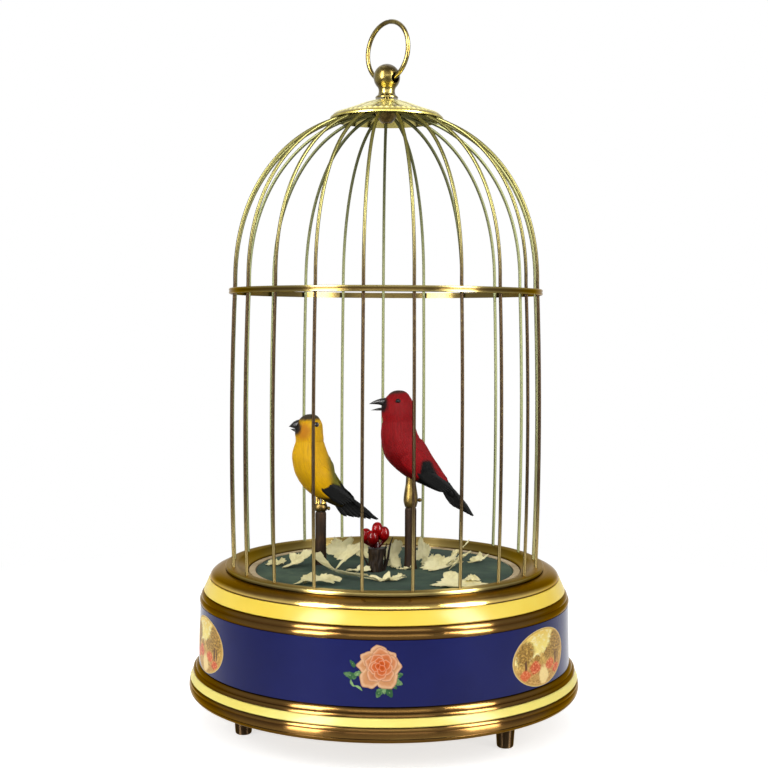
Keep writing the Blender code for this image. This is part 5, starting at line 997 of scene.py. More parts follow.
# Each torn leaf: x, y, half length, half width, turn, tilt along, tilt across, curl; angles in radians
LEAVES = (
    (-44.5, 5.0, 3.9, 2.6, 0.10, 0.10, 0.30, 0.9),
    (-35.2, 2.0, 6.0, 3.2, 0.25, 0.45, 0.45, 1.5),
    (-25.2, -35.5, 6.3, 4.2, -0.10, 0.05, 0.32, 1.3),
    (-29.5, -33.0, 2.6, 1.5, 0.90, 0.20, 0.20, 0.8),
    (-18.5, 25.0, 6.6, 4.6, -0.08, 0.10, 1.05, 1.4),
    (-9.5, 24.0, 3.0, 3.6, 0.20, 0.00, 1.15, 1.0),
    (-13.6, -3.5, 6.6, 3.0, 0.35, 0.62, 0.50, 1.3),
    (-10.5, -9.0, 4.2, 2.0, -0.35, 0.10, 0.25, 0.9),
    (-0.1, -27.5, 6.6, 2.7, -0.06, 0.05, 0.14, 1.1),
    (5.6, -25.0, 2.6, 1.4, 0.70, 0.25, 0.20, 0.8),
    (3.2, 1.0, 4.0, 5.6, 0.10, 0.00, 1.20, 1.6),
    (3.8, 4.8, 2.6, 3.0, -0.30, 0.10, 0.90, 1.2),
    (8.6, -4.0, 2.4, 0.9, 0.20, 0.10, 0.20, 0.5),
    (15.8, 10.0, 3.2, 5.2, 0.25, 0.00, 1.18, 1.2),
    (18.6, 6.0, 3.2, 2.4, 0.10, 0.20, 0.70, 1.0),
    (21.6, -2.5, 6.0, 4.0, 0.15, 0.30, 0.62, 1.6),
    (29.0, 2.0, 5.8, 1.0, 0.30, 0.75, 0.35, 0.7),
    (31.0, -1.0, 5.0, 0.8, 0.55, 0.55, 0.20, 0.6),
    (27.6, 3.6, 3.8, 2.0, -0.20, 0.25, 0.60, 0.9),
    (38.6, 14.0, 4.0, 2.0, 0.20, 0.28, 0.45, 0.9),
    (26.6, -36.5, 7.8, 5.0, 0.02, 0.03, 0.34, 1.5),
    (32.5, -34.5, 3.2, 2.0, -0.50, 0.20, 0.50, 0.9),
)
RIBBON_WIDTH = 5.2
RIBBON = (
    (-27.9, 3.2, 68.0), (-26.0, -3.0, 66.4), (-22.8, -11.2, 64.9), (-18.2, -19.1, 64.2), (-12.0, -23.6, 64.0),
    (-6.5, -25.0, 64.0),
)
LEAF_SEED, RIBBON_SEED, LEAF_THICK = 500, 900, 0.30


def cage_floor():
    disc = [(0.0, FLOOR_TOP), (20.0, FLOOR_TOP - 0.02), (40.0, FLOOR_TOP), (51.7, FLOOR_TOP)]
    disc += [(52.0, FLOOR_TOP - 0.2), (52.0, FLOOR_UNDER), (0.0, FLOOR_UNDER)]
    lathe("flocked_floor", disc, floor_cloth(), "floor_disc", loop=False)
    ring = [(52.5, 62.5), (54.7, 62.5), (54.9, 62.3), (54.9, FLOOR_UNDER), (52.3, FLOOR_UNDER), (52.3, 62.35)]
    lathe("paper_border", ring, border_paper(), "floor_border_ring")


def torn_leaf(index, x, y, length, width, turn, pitch, lift, curl):
    """A thin ragged sheet, cupped and curled, with its lowest part on the floor."""
    rng = random.Random(LEAF_SEED + index)
    rings, count = 8, 60
    teeth = [rng.uniform(-1, 1) for _ in range(count)]
    waves = [(rng.randint(2, 7), rng.uniform(0, math.tau), rng.uniform(0.07, 0.17)) for _ in range(4)]
    place = Matrix.Rotation(turn, 4, "Z") @ Matrix.Rotation(-pitch, 4, "Y") @ Matrix.Rotation(lift, 4, "X")
    top, edge = [], []
    for ring in range(rings + 1):
        share = ring / rings
        for a, tooth in zip(angles(count), teeth):
            lobes = sum(amount * math.sin(n * a + first) for n, first, amount in waves)
            out = 0.92 + lobes + 0.11 * tooth * share ** 5
            point = 1.0 + 0.20 * abs(math.cos(a)) ** 6
            u, v = out * point * share * math.cos(a), out * share * math.sin(a)
            cup = curl * (1.1 * v * v + 0.8 * u * u * math.sin(1.7 * index + 0.6) + 0.4 * u * v)
            crease = 0.55 * noise.noise(Vector((u * 2.6, v * 2.6, index * 3.7)))
            crease += 0.18 * math.sin(7.0 * u + 3.0 * v + index)
            top.append(Vector((u * length, v * width, cup + crease)))
            edge.append(share)
    under = [p - UP * (LEAF_THICK * (1.0 - 0.6 * e)) for p, e in zip(top, edge)]
    verts = [place @ p for p in top + under]
    shift = Vector((x, y, FLOOR_TOP + 0.05 - min(v.z for v in verts)))
    half = len(top)
    faces = grid_faces(rings + 1, count)
    faces += under_faces(faces, half)
    rim = range(rings * count, half)
    for k, m in zip(rim, [*rim[1:], rim[0]]):
        faces.append((k, m, half + m, half + k))
    return [v + shift for v in verts], faces, edge + edge


def torn_ribbon():
    """A long twisted strip along a line over the floor, ragged at both sides."""
    rng = random.Random(RIBBON_SEED)
    run = smooth(RIBBON, 8)
    rows, columns = len(run), 7
    verts, edge = [], []
    for i, (x, y, z) in enumerate(run):
        s = i / (rows - 1)
        after, before = Vector(run[min(rows - 1, i + 1)]), Vector(run[max(0, i - 1)])
        across = (after - before).cross(UP).normalized()
        fullness = 0.25 + 0.75 * math.sin(math.pi * min(1.0, 0.12 + s * 0.9)) ** 0.7
        half = RIBBON_WIDTH * fullness / 2 * (1.0 + 0.16 * rng.uniform(-1, 1))
        roll = 0.5 * math.sin(2.4 * s)
        for j in range(columns):
            t = 2.0 * j / (columns - 1) - 1.0
            verts.append(Vector((x, y, z + 0.5 * t * t)) + across * (half * t) + UP * (half * t * roll))
            edge.append(abs(t))
    verts = [Vector((v.x, v.y, max(v.z, FLOOR_TOP + 0.4))) for v in verts]
    under = [v - UP * LEAF_THICK for v in verts]
    return verts + under, sheet_faces(rows, columns, -1), edge + edge


def leaves():
    heap = Heap("edge")
    for verts, faces, edge in [torn_leaf(i, *values) for i, values in enumerate(LEAVES)] + [torn_ribbon()]:
        heap.add(verts, faces, edge=edge)
    heap.piece("torn_leaves", scrap_paper(), "base", ("leaf_scraps",), "pale_scraps", 50.0, weld=True)


# Stump, berries, posts and clips

# Each twig: where it leaves the stump, how far it leans, its height and radius. Each berry: x, y, height
TWIGS = ((3.4, 1.6, 3.6, 0.8, 13.5, 0.5), (3.0, 2.6, 1.6, 0.6, 11.0, 0.4), (-2.8, 2.2, -3.0, 1.2, 9.0, 0.4))
BERRIES = ((-4.1, 0.3, 4.4), (0.4, -1.0, 7.1), (3.0, -0.3, 5.3), (0.3, 2.4, 5.0), (-1.5, -2.2, 4.0))
BERRY_Z, BERRY_STEM_Z, BERRY_HALF, BERRY_R, BERRY_SHARE = 72.3, 72.1, 3.0, 2.35, 0.62


def stump():
    base_z = FLOOR_TOP + 0.05
    rows, sides, verts = 26, 48, []
    for i in range(rows):
        s = i / (rows - 1)
        r = 2.75 + 0.45 * s ** 2
        for a in angles(sides):
            groove = 0.16 * math.sin(9 * a + 1.2 * s) + 0.10 * math.sin(17 * a - 2.0 * s)
            groove += 0.35 * noise.noise(Vector((math.cos(a) * 2, math.sin(a) * 2, s * 3)))
            x = STUMP[0] + STUMP_LEAN * s + (r + groove) * math.cos(a)
            verts.append((x, STUMP[1] + (r + groove) * math.sin(a), base_z + STUMP_TALL * s))
    heap = Heap()
    heap.add(verts, grid_faces(rows, sides) + end_faces(len(verts), sides))
    for x, y, lean_x, lean_y, tall, r in TWIGS:
        start = Vector((STUMP[0] + x, STUMP[1] + y, base_z))
        run = []
        for t in (0, 0.2, 0.4, 0.6, 0.8, 1.0):
            way = Vector((lean_x * t, lean_y * t, tall * t))
            run.append(start + way + Vector((0.3 * math.sin(6 * t), 0.0, 0.0)))
        heap.add(*sweep(run, [r * 1.2, r, r * 0.95, r * 0.9, r * 0.7, r * 0.35], 8))
    heap.piece("bark_stump", BARK, "base", ("berry_stump",), "dark_bark", 60.0)


def berry(x, y, z):
    """One drop from its top to its stem on the stump."""
    middle = Vector((STUMP[0] + STUMP_LEAN + x, STUMP[1] + y, BERRY_Z + z))
    root = Vector((STUMP[0] + STUMP_LEAN + 0.3 * x, STUMP[1] + 0.3 * y, BERRY_STEM_Z))
    run, radii = [], []
    for s in (i / 30 for i in range(31)):
        if s < BERRY_SHARE:
            turn = math.pi * s / BERRY_SHARE
            radius = BERRY_R * math.sin(turn) ** 0.9 * (1.0 - 0.10 * s)
            if turn > math.pi / 2 and radius < 0.9:
                continue
            run.append(middle + UP * (BERRY_HALF * math.cos(turn)))
            radii.append(max(0.06, radius))
        else:
            t = (s - BERRY_SHARE) / (1.0 - BERRY_SHARE)
            run.append((middle - UP * (0.9 * BERRY_HALF)).lerp(root, t))
            radii.append(0.75 - 0.25 * t)
    return sweep(run, radii, 20)


def berries():
    """Lacquered drops that taper down to their stems, and the knot that the stems leave."""
    heap = Heap()
    for place in BERRIES:
        heap.add(*berry(*place))
    knot = [(STUMP[0] + STUMP_LEAN, STUMP[1], z) for z in (BERRY_STEM_Z, 74.0, 76.5)]
    heap.add(*sweep(knot, [1.5, 1.4, 0.8], 12))
    heap.piece("berry_drops", berry_lacquer(), "base", ("berry_cluster",), "red_berry", 80.0)


def perches():
    low = FLOOR_TOP + 0.3
    for name, at, tall, r in (("red", RED_PERCH, 24.6, 2.35), ("yellow", YELLOW_PERCH, 21.7, 2.25)):
        outline = standing(low, ((r + 0.45, -0.25), (r + 0.35, 0.4), (r + 0.1, 1.6), (r, 5.0)))
        outline += [(r - 0.04, low + 12.0)]
        outline += standing(low + tall, ((r, -1.0), (r - 0.1, -0.4), (r - 0.35, 0.0), (1.0, 0.0)))
        outline += [(1.0, low - 0.25)]
        lathe(f"{name}_turned_post", outline, POST, f"{name}_perch_post", at, 40)
    red_clip()
    yellow_clip()


def red_clip():
    """A turned sleeve that swells round the middle, with a screw."""
    low = RED_CLIP_LOW
    clip = [(2.3, 0.0), (2.6, 0.9), (2.9, 2.2), (2.9, 3.6), (2.75, 5.2), (2.5, 6.8), (2.25, 8.4), (2.1, 9.6)]
    clip = smooth(standing(low, clip + [(1.9, 13.3)]), 4) + [(1.0, low + 13.3), (1.0, low)]
    lathe("red_turned_clip", clip, FERRULE, "red_perch_clip", RED_PERCH, 40)
    screw("red_clip_screw", (RED_PERCH[0] + 1.6, RED_PERCH[1], low + 2.8), 2.8)


def yellow_clip():
    """Two leg tubes that stand in a turned collar, with a screw."""
    low = YELLOW_CLIP_LOW
    heap = Heap("crest")
    for side in (-1, 1):
        x = YELLOW_PERCH[0] + side * 1.35
        run = [(x, YELLOW_PERCH[1], low + z) for z in (0.8, 3.0, 5.0, 7.6)]
        heap.add(*sweep(run, [1.05, 0.98, 0.95, 0.95], 16), crest=0.9)
    heap.piece("yellow_leg_tubes", GILT, "base", slot="polished_brass")
    collar = [(2.2, 3.0), (2.6, 2.5), (2.8, 1.7), (2.75, 0.9), (2.5, 0.3), (2.3, 0.0), (1.0, 0.0), (1.0, 3.0)]
    collar = standing(low, collar)
    lathe("yellow_turned_collar", collar, FERRULE, "yellow_perch_clip", YELLOW_PERCH, 40)
    screw("yellow_clip_screw", (YELLOW_PERCH[0] + 1.6, YELLOW_PERCH[1], low + 1.0), 2.3)


def screw(name, start, length):
    """A small round-headed screw that stands out along +X."""
    start = Vector(start)
    run = [start + Vector((t * length, 0, 0)) for t in (0.0, 0.45, 0.5, 0.55, 0.8, 0.93, 1.0)]
    verts, faces = sweep(run, [0.5, 0.5, 0.55, 0.8, 0.8, 0.65, 0.3], 18)
    piece(name, verts, faces, FERRULE, "base", sharp=50.0)


# Birds

# Places are x and z from the middle of the neck's joint. Rows of the body, head and bill: x, z, lean in
# degrees where a row has one, half thickness, half width. Rows of the wing: x, z, lean, half width. The
# fan's corners: root top and root low, tip top and tip low, from the frame's origin.
RED = dict(
    name="red", neck=(5.2, 0.0, 122.5), neck_r=6.2, flank=1.0, eye=(-0.15, 8.1), crown=(0.3, 12.2),
    body=(
        (0.3, -4.0, 0.0, 7.1, 6.8), (1.1, -8.5, 12.0, 7.8, 7.3), (3.1, -12.2, 27.0, 8.3, 7.4),
        (8.1, -17.9, 38.0, 7.0, 6.4), (13.8, -22.6, 45.0, 4.9, 4.7), (18.4, -26.6, 47.0, 2.9, 3.4),
    ),
    head=((-0.1, 3.5, 6.7, 6.4), (-0.1, 7.5, 6.0, 5.7), (0.2, 10.6, 3.9, 3.7)),
    upper=((-3.6, 7.0, 2.2, 2.3), (-5.6, 7.4, 1.75, 1.7), (-7.8, 7.5, 1.15, 1.15), (-10.0, 7.15, 0.6, 0.6)),
    lower=((-4.0, 4.9, 0.8, 1.2), (-6.0, 4.7, 0.7, 1.0), (-8.2, 4.5, 0.5, 0.7)),
    upper_tip=(-11.8, 6.6), lower_tip=(-11.1, 4.1),
    wing=(
        (1.6, -10.0, 30.0, 3.0), (6.2, -15.0, 38.0, 4.9), (12.2, -20.4, 43.0, 4.4), (18.2, -25.8, 45.0, 2.9),
    ),
    fan=((27.0, 95.4), (23.4, 95.2), (35.8, 83.9), (28.4, 87.6)),
    shades=(srgb(92, 0, 3), srgb(148, 5, 13), srgb(180, 28, 34)), belly_shade=srgb(76, 0, 2), gloss=0.55,
    dark_parts=red_dark_parts, head_parts=red_head_parts,
)
YELLOW = dict(
    name="yellow", neck=(-30.9, 8.0, 113.5), neck_r=5.6, flank=0.96, eye=(3.0, 6.9), crown=(0.4, 10.9),
    body=(
        (0.2, -5.0, 0.0, 7.2, 6.5), (1.0, -9.0, 10.0, 7.9, 7.1), (2.6, -13.0, 22.0, 7.9, 7.1),
        (5.3, -17.8, 34.0, 6.5, 6.2), (9.3, -21.8, 46.0, 4.3, 4.5), (13.4, -25.2, 58.0, 2.5, 3.2),
    ),
    head=((-0.2, 3.3, 5.75, 5.6), (-0.1, 6.8, 5.3, 5.1), (0.2, 9.4, 3.7, 3.5)),
    upper=((-3.2, 6.5, 2.3, 2.4), (-5.0, 6.6, 1.9, 2.0), (-6.6, 6.4, 1.3, 1.3)),
    lower=((-3.7, 3.9, 0.8, 1.2), (-5.2, 4.1, 0.8, 1.1), (-6.6, 4.4, 0.5, 0.7)),
    upper_tip=(-8.5, 5.7), lower_tip=(-7.9, 4.8),
    wing=((2.0, -9.5, 18.0, 3.0), (5.0, -14.5, 30.0, 4.7), (8.8, -19.0, 42.0, 4.2), (13.6, -23.2, 55.0, 2.6)),
    fan=((-17.0, 92.4), (-20.6, 89.0), (-2.8, 81.0), (-16.4, 82.4)),
    shades=(srgb(178, 122, 0), srgb(234, 178, 0), srgb(252, 214, 16)), belly_shade=srgb(166, 126, 4), gloss=0.42,
    dark_parts=yellow_dark_parts, head_parts=yellow_head_parts,
)
# How far the wing stands out at its four rows, and its half thickness there
WING_OUT, WING_THICK = (5.4, 5.9, 4.9, 4.3), (1.3, 1.5, 1.1, 0.7)
# The lid and the bead of an eye: radius, height, and 1 on the lid
EYE_PROFILE = (
    (1.05, -0.3, 1), (1.05, 0.25, 1), (0.95, 0.38, 1), (0.82, 0.36, 0.6), (0.74, 0.45, 0), (0.6, 0.68, 0),
    (0.38, 0.84, 0), (0.12, 0.9, 0),
)


def at_neck(bird, x, z, y=0.0):
    return Vector(bird["neck"]) + Vector((x, y, z))


def lean_ways(degrees):
    """The way down a part that leans by these degrees, and the way across it to the back."""
    lean = math.radians(degrees)
    return Vector((math.sin(lean), 0.0, -math.cos(lean))), Vector((math.cos(lean), 0.0, math.sin(lean)))


def loft(stations, sides, ruffle=0.0, seed=0.0, tip=None):
    """Verts, faces and facts of a closed skin over stations of (centre, lean, thick, wide)."""
    verts, along, back, side = [], [], [], []
    for i, (centre, lean, thick, wide) in enumerate(stations):
        share = i / (len(stations) - 1)
        fade = min(1.0, 6.0 * share) * min(1.0, 6.0 * (1.0 - share))
        across = lean_ways(lean)[1]
        for a in angles(sides):
            b, s = math.cos(a), math.sin(a)
            p = Vector(centre) + across * thick * b + BACKWARDS * wide * s
            lift = noise.noise(Vector((b * 2.6 + seed, s * 2.6, share * 9.0)))
            lift += 0.5 * noise.noise(Vector((b * 7.0, s * 7.0 + seed, share * 22.0)))
            verts.append(p + (p - Vector(centre)).normalized() * lift * ruffle * fade)
            along.append(share)
            back.append(b)
            side.append(s)
    faces = grid_faces(len(stations), sides)
    first, last = end_faces(len(verts), sides)
    faces.append(first)
    if tip is None:
        faces.append(last)
    else:
        faces += [(last[k], last[(k + 1) % sides], len(verts)) for k in range(sides)]
        verts.append(Vector(tip))
        along.append(1.0)
        back.append(0.0)
        side.append(0.0)
    return verts, faces, {"along": along, "back": back, "side": side}


def bird_body(bird, paint):
    name, neck_r = bird["name"], bird["neck_r"]
    rows = [(0.0, 0.6, 0.0, neck_r - 0.45, neck_r - 0.45), (0.0, 0.0, 0.0, neck_r, neck_r), *bird["body"]]
    x, z, lean, thick, wide = rows[-1]
    reach = math.radians(lean)
    rows.append((x + 1.2 * math.sin(reach), z - 1.2 * math.cos(reach), lean, thick * 0.62, wide * 0.66))
    stations = [(at_neck(bird, x, z), *sizes) for x, z, *sizes in smooth(rows, 7)]
    verts, faces, facts = loft(stations, 44, 0.16, 1.0)
    stands_for = (f"{name}_bird_body",)
    piece(f"{name}_plumage", verts, faces, paint, "base", stands_for, facts, 70.0)


def bird_wings(bird, paint, quill):
    name, flank = bird["name"], bird["flank"]
    heap, blades = Heap("along", "back", "side"), Heap("along", "across")
    for side in (-1, 1):
        rows = []
        for (x, z, lean, half), out, thick in zip(bird["wing"], WING_OUT, WING_THICK):
            rows.append((x, side * (out * flank), z, lean, half, thick))
        x, y, z, lean, half, thick = rows[0]
        rows.insert(0, (x - 0.6, y * 0.97, z + 1.9, lean - 6.0, half * 0.45, thick * 0.5))
        stations = [(at_neck(bird, x, z, y), *sizes) for x, y, z, *sizes in smooth(rows, 6)]
        x, y, z, lean = rows[-1][:4]
        reach = math.radians(lean)
        end = at_neck(bird, x + 3.4 * math.sin(reach), z - 3.4 * math.cos(reach), y * 0.97)
        verts, faces, facts = loft(stations, 28, 0.10, 4.0 + side, tip=end)
        heap.add(verts, faces, **facts)
        first, last = bird["wing"][1], bird["wing"][-1]
        out, over = lean_ways(last[2])
        for share in (k / 4 for k in range(5)):
            root_x, root_z = first[0] + 1.2 - 2.6 * share, first[1] - 1.4 - 1.4 * share
            start = at_neck(bird, root_x, root_z, side * 6.3 * flank)
            tip = at_neck(bird, last[0], last[1], side * 4.4)
            tip = tip + out * (4.6 - 2.6 * share) + over * (1.6 - 3.4 * share)
            add_feather(blades, start, tip, 1.35, 0.22, Vector((0, side, 0)))
    heap.piece(f"{name}_wing_coverts", paint, "base", slot=f"{name}_feather", sharp=70.0)
    blades.piece(f"{name}_wing_quills", quill, "base", slot="black_feather", sharp=50.0)


def add_feather(heap, start, tip, width, thick, outward, notch=0):
    """One flat feather from start to tip; outward is the way its face looks."""
    way = (tip - start).normalized()
    across = way.cross(outward).normalized()
    face = across.cross(way).normalized()
    if face.dot(outward) < 0:
        face = -face
    rows, columns = 18, 7
    rng = random.Random(round(start.x * 10) + notch)
    verts, along, over = [], [], []
    for layer in (1, -1):
        for s in (i / (rows - 1) for i in range(rows)):
            swell = math.sin(math.pi * min(1.0, 0.18 + 0.82 * s) ** 1.5) ** 0.55 if s < 1.0 else 0.05
            for c in (k / (columns - 1) * 2.0 - 1.0 for k in range(columns)):
                fray = 0.12 * rng.uniform(-1, 1) * abs(c) ** 3 * (1.0 if layer > 0 else 0.0)
                bow = (1.0 - c * c) * 0.28
                rise = bow + layer * thick / 2 * (1.0 - 0.7 * abs(c))
                verts.append(start.lerp(tip, s) + across * width * (swell * c + fray * s) + face * rise)
                along.append(s)
                over.append(c)
    heap.add(verts, sheet_faces(rows, columns), along=along, across=over)


def bird_tail(bird, quill):
    """Overlapping tail feathers: flat ones on top, and side ones that step down to a ragged lower edge."""
    name, middle = bird["name"], bird["neck"][1]
    top_root, low_root, top_tip, low_tip = (Vector((x, middle, z)) for x, z in bird["fan"])
    down = (top_tip - top_root).normalized()
    over = Vector((-down.z, 0.0, down.x))
    heap = Heap("along", "across")
    for k, (spread, share) in enumerate(((0.0, 1.0), (-0.75, 0.96), (0.75, 0.95), (-1.5, 0.88), (1.5, 0.87))):
        start = top_root + BACKWARDS * spread * 0.6 - over * 0.2 * abs(spread)
        tip = top_root.lerp(top_tip, share) + BACKWARDS * spread * 1.2 - over * 0.35 * abs(spread)
        add_feather(heap, start, tip, 1.35, 0.3, over, notch=k)
    for k, level in enumerate((0.08, 0.26, 0.42, 0.60, 0.78, 1.0)):
        for way in (-1, 1):
            start = top_root.lerp(low_root, level) + BACKWARDS * way * (1.3 - 0.3 * level) - down * 0.5
            tip = top_tip.lerp(low_tip, min(1.0, level + 0.05 * way)) + BACKWARDS * way * (1.0 - 0.5 * level)
            add_feather(heap, start, tip, 1.15, 0.25, BACKWARDS * way, notch=10 + 2 * k + way)
    run = [top_root.lerp(low_root, 0.5) + down * t for t in (-1.2, 0.4, 2.4, 4.6, 6.4)]
    heap.add(*sweep(run, [0.9, 1.7, 1.9, 1.4, 0.4], 16), along=0.2, across=0.3)
    heap.piece(f"{name}_tail_fan", quill, f"{name}_tail", (f"{name}_bird_tail",), "black_feather", 50.0)


def bird_head(bird, paint, beak):
    name, neck_r = bird["name"], bird["neck_r"]
    rows = [(0.0, -0.25, neck_r + 0.12, neck_r + 0.12), (0.0, 0.5, neck_r + 0.15, neck_r + 0.1)]
    rows += bird["head"]
    x, z, thick, wide = rows[-1]
    top_x, top_z = bird["crown"]
    rows.append(((x + top_x) / 2, z + (top_z - z) * 0.72, thick * 0.62, wide * 0.62))
    rows.append((top_x, z + (top_z - z) * 0.96, thick * 0.26, wide * 0.26))
    stations = [(at_neck(bird, x, z), 0.0, *sizes) for x, z, *sizes in smooth(rows, 6)]
    verts, faces, facts = loft(stations, 44, 0.08, 9.0, tip=at_neck(bird, *bird["crown"]))
    head, stands_for = f"{name}_head", (f"{name}_bird_head",)
    piece(f"{name}_head_plumage", verts, faces, paint, head, stands_for, facts, 70.0)
    for part, body in (("upper", head), ("lower", f"{name}_beak")):
        stands_for = (f"{name}_bird_lower_beak",) if part == "lower" else ()
        stations = [(at_neck(bird, x, z), 90.0, *sizes) for x, z, *sizes in smooth(bird[part], 6)]
        verts, faces, facts = loft(stations, 20, tip=at_neck(bird, *bird[f"{part}_tip"]))
        piece(f"{name}_{part}_bill", verts, faces, beak, body, stands_for, facts, 60.0)


def bird_eyes(bird, paint):
    """A glass bead in a dark lid on each side of the head."""
    heap = Heap("crest")
    x, z = bird["eye"]
    low, high = bird["head"][1:3]
    share = (z - low[1]) / (high[1] - low[1])
    thick, wide = (low[k] + (high[k] - low[k]) * share * 0.7 for k in (2, 3))
    for side in (-1, 1):
        lift = wide * math.sqrt(max(0.0, 1.0 - (x / thick) ** 2))
        out = Vector((x / thick ** 2, side * lift / wide ** 2, 0.12 / wide)).normalized()
        centre = at_neck(bird, x, z, side * (lift - 0.25))
        across = UP.cross(out).normalized()
        up = out.cross(across)
        verts, crest, sides = [], [], 24
        for r, h, c in EYE_PROFILE:
            for a in angles(sides):
                verts.append(centre + across * r * math.cos(a) + up * r * math.sin(a) + out * h)
            crest += [c] * sides
        heap.add(verts, grid_faces(len(EYE_PROFILE), sides) + end_faces(len(verts), sides), crest=crest)
    heap.piece(f"{bird['name']}_eyes", paint, f"{bird['name']}_head", slot="black_beak", sharp=50.0)


def birds():
    quill, beak, eye = dark_quill(), horn(), eye_glass()
    for bird in (RED, YELLOW):
        name, shades, dark_parts, gloss = (bird[k] for k in ("name", "shades", "dark_parts", "gloss"))
        bird_body(bird, plumage(f"{name}_body_plumage", shades, dark_parts, gloss, bird["belly_shade"]))
        bird_wings(bird, plumage(f"{name}_wing_plumage", shades, dark_parts, gloss), quill)
        bird_tail(bird, quill)
        bird_head(bird, plumage(f"{name}_head_plumage", shades, bird["head_parts"], gloss), beak)
        bird_eyes(bird, eye)


# Printed decorations on the drum: generic roses and figure-free landscapes

ROSE_TURNS, MEADOW_TURNS = (-0.9, 119.1, 239.1), (52.6, 172.6, 292.4)
MEADOW_HALF, MEADOW_UP = (17.8, 10.8), -0.9
ROSE_HEART = 2.9
# Outer petals: angle in degrees, length, width. Inner layers: petals, length, width, phase, depth of colour
OUTER_PETALS = (
    (101, 7.1, 7.0), (151, 7.4, 6.2), (180, 7.9, 5.8), (230, 9.1, 8.2), (296, 8.4, 8.4), (357, 6.9, 7.4),
    (41, 6.3, 6.4),
)
ROSE_LAYERS = (
    (5, 5.9, 6.4, 0.25, 0.35), (5, 4.6, 5.2, 0.70, 0.6), (4, 3.3, 3.9, 0.15, 0.85), (3, 2.0, 2.6, 0.55, 1.0),
)
# Each leaf of a rose: x, y, angle, length, width, tone
ROSE_LEAVES = (
    (-10.9, -3.6, 2.85, 5.0, 3.0, 0.4), (-10.0, 0.6, 2.2, 3.2, 1.8, 0.25), (-8.3, -3.0, 3.4, 3.4, 2.2, 0.7),
    (-0.6, -9.8, 4.3, 3.6, 2.9, 0.55), (3.2, -9.6, 5.2, 3.8, 3.0, 0.3), (1.2, -8.6, 4.9, 3.2, 2.2, 0.8),
    (6.4, -3.4, 0.3, 3.4, 2.6, 0.5), (6.2, -6.0, 5.9, 3.6, 2.8, 0.75), (4.9, -7.4, 5.5, 2.6, 1.8, 0.3),
)
# The tendril's middle line: x, y
TENDRIL = ((-10.6, -5.0), (-10.9, -6.2), (-9.8, -7.4), (-8.2, -7.3), (-7.0, -7.9), (-6.4, -9.0))


def on_drum(turn, across, up, lift):
    """A point on the drum at a turn from the front, moved along and up it in millimetres."""
    z = (DRUM_LOW + DRUM_TOP) / 2 + up
    r = DRUM_LOW_R + (DRUM_TOP_R - DRUM_LOW_R) * (z - DRUM_LOW) / (DRUM_TOP - DRUM_LOW) + lift
    return Vector(around(turn + across / r, r, z))


def turned_by(angle, u, v):
    return u * math.cos(angle) - v * math.sin(angle), u * math.sin(angle) + v * math.cos(angle)


def flat_shape(heap, turn, outline, centre, level, depth, rings=4):
    """One printed shape, placed from the rose's heart: rings from its centre to its outline."""
    verts, edge = [on_drum(turn, centre[0], centre[1] + ROSE_HEART, level)], [0.0]
    for s in (ring / rings for ring in range(1, rings + 1)):
        for x, y in outline:
            across, up = centre[0] + (x - centre[0]) * s, centre[1] + (y - centre[1]) * s + ROSE_HEART
            verts.append(on_drum(turn, across, up, level - 0.02 * (s > 0.99)))
            edge.append(s)
    heap.add(verts, disc_faces(rings, len(outline)), edge=edge, depth=depth)


def petal_outline(angle, near, far, width, seed, tip=0.11):
    """A petal that points outwards at an angle: broad shoulders, a wavy lip and a small turned-back tip."""
    out = []
    for t in angles(34):
        s = 0.5 + 0.5 * math.cos(t)
        v = width / 2 * math.sin(t) * (0.70 + 0.42 * s) * (1.0 + 0.07 * math.sin(5 * t + seed))
        point = tip * math.exp(-((v / (0.16 * width)) ** 2)) * s ** 3
        u = near + (far - near) * (s ** 0.92) * (1.0 + point - 0.02 * math.cos(6 * t + seed))
        out.append(turned_by(angle, u, v))
    return out


def rose_leaf(x, y, angle, length, wide):
    """A pointed leaf with a toothed edge."""
    out = []
    for t in angles(24):
        v = wide / 2 * math.sin(t) * (0.8 - 0.3 * math.cos(t)) * (1.0 + 0.12 * math.sin(8 * t))
        over_x, over_y = turned_by(angle, length * 0.5 * math.cos(t), v)
        out.append((x + over_x, y + over_y))
    return out


def rose(heap, leaves_heap, turn):
    """One printed rose with its leaves and a tendril, its heart a little above the drum's middle."""
    for x, y, angle, length, wide, tone in ROSE_LEAVES:
        flat_shape(leaves_heap, turn, rose_leaf(x, y, angle, length, wide), (x, y), 0.05, tone)
    tendril = smooth(TENDRIL, 4)
    sides = [(x, y + 0.16) for x, y in tendril] + [(x, y - 0.16) for x, y in reversed(tendril)]
    flat_shape(leaves_heap, turn, sides, (-9.4, -7.2), 0.05, 1.0, 2)
    for k, (degrees, far, wide) in enumerate(OUTER_PETALS):
        angle = math.radians(degrees)
        outline = petal_outline(angle, 0.4, far, wide, 1.7 * k)
        level = 0.07 + 0.007 * (k % 2) + 0.003 * k
        flat_shape(heap, turn, outline, turned_by(angle, 0.42 * far, 0.0), level, 0.0, 7)
    for layer, (count, far, wide, phase, depth) in enumerate(ROSE_LAYERS):
        for k in range(count):
            angle = math.tau * (k + phase) / count
            reach = far * (1.0 + 0.08 * math.sin(2.3 * k + layer))
            outline = petal_outline(angle, -0.5, reach, wide, 1.3 * k + layer, 0.08)
            level = 0.14 + 0.04 * layer + 0.006 * k
            flat_shape(heap, turn, outline, turned_by(angle, 0.40 * reach, 0.0), level, depth, 7)


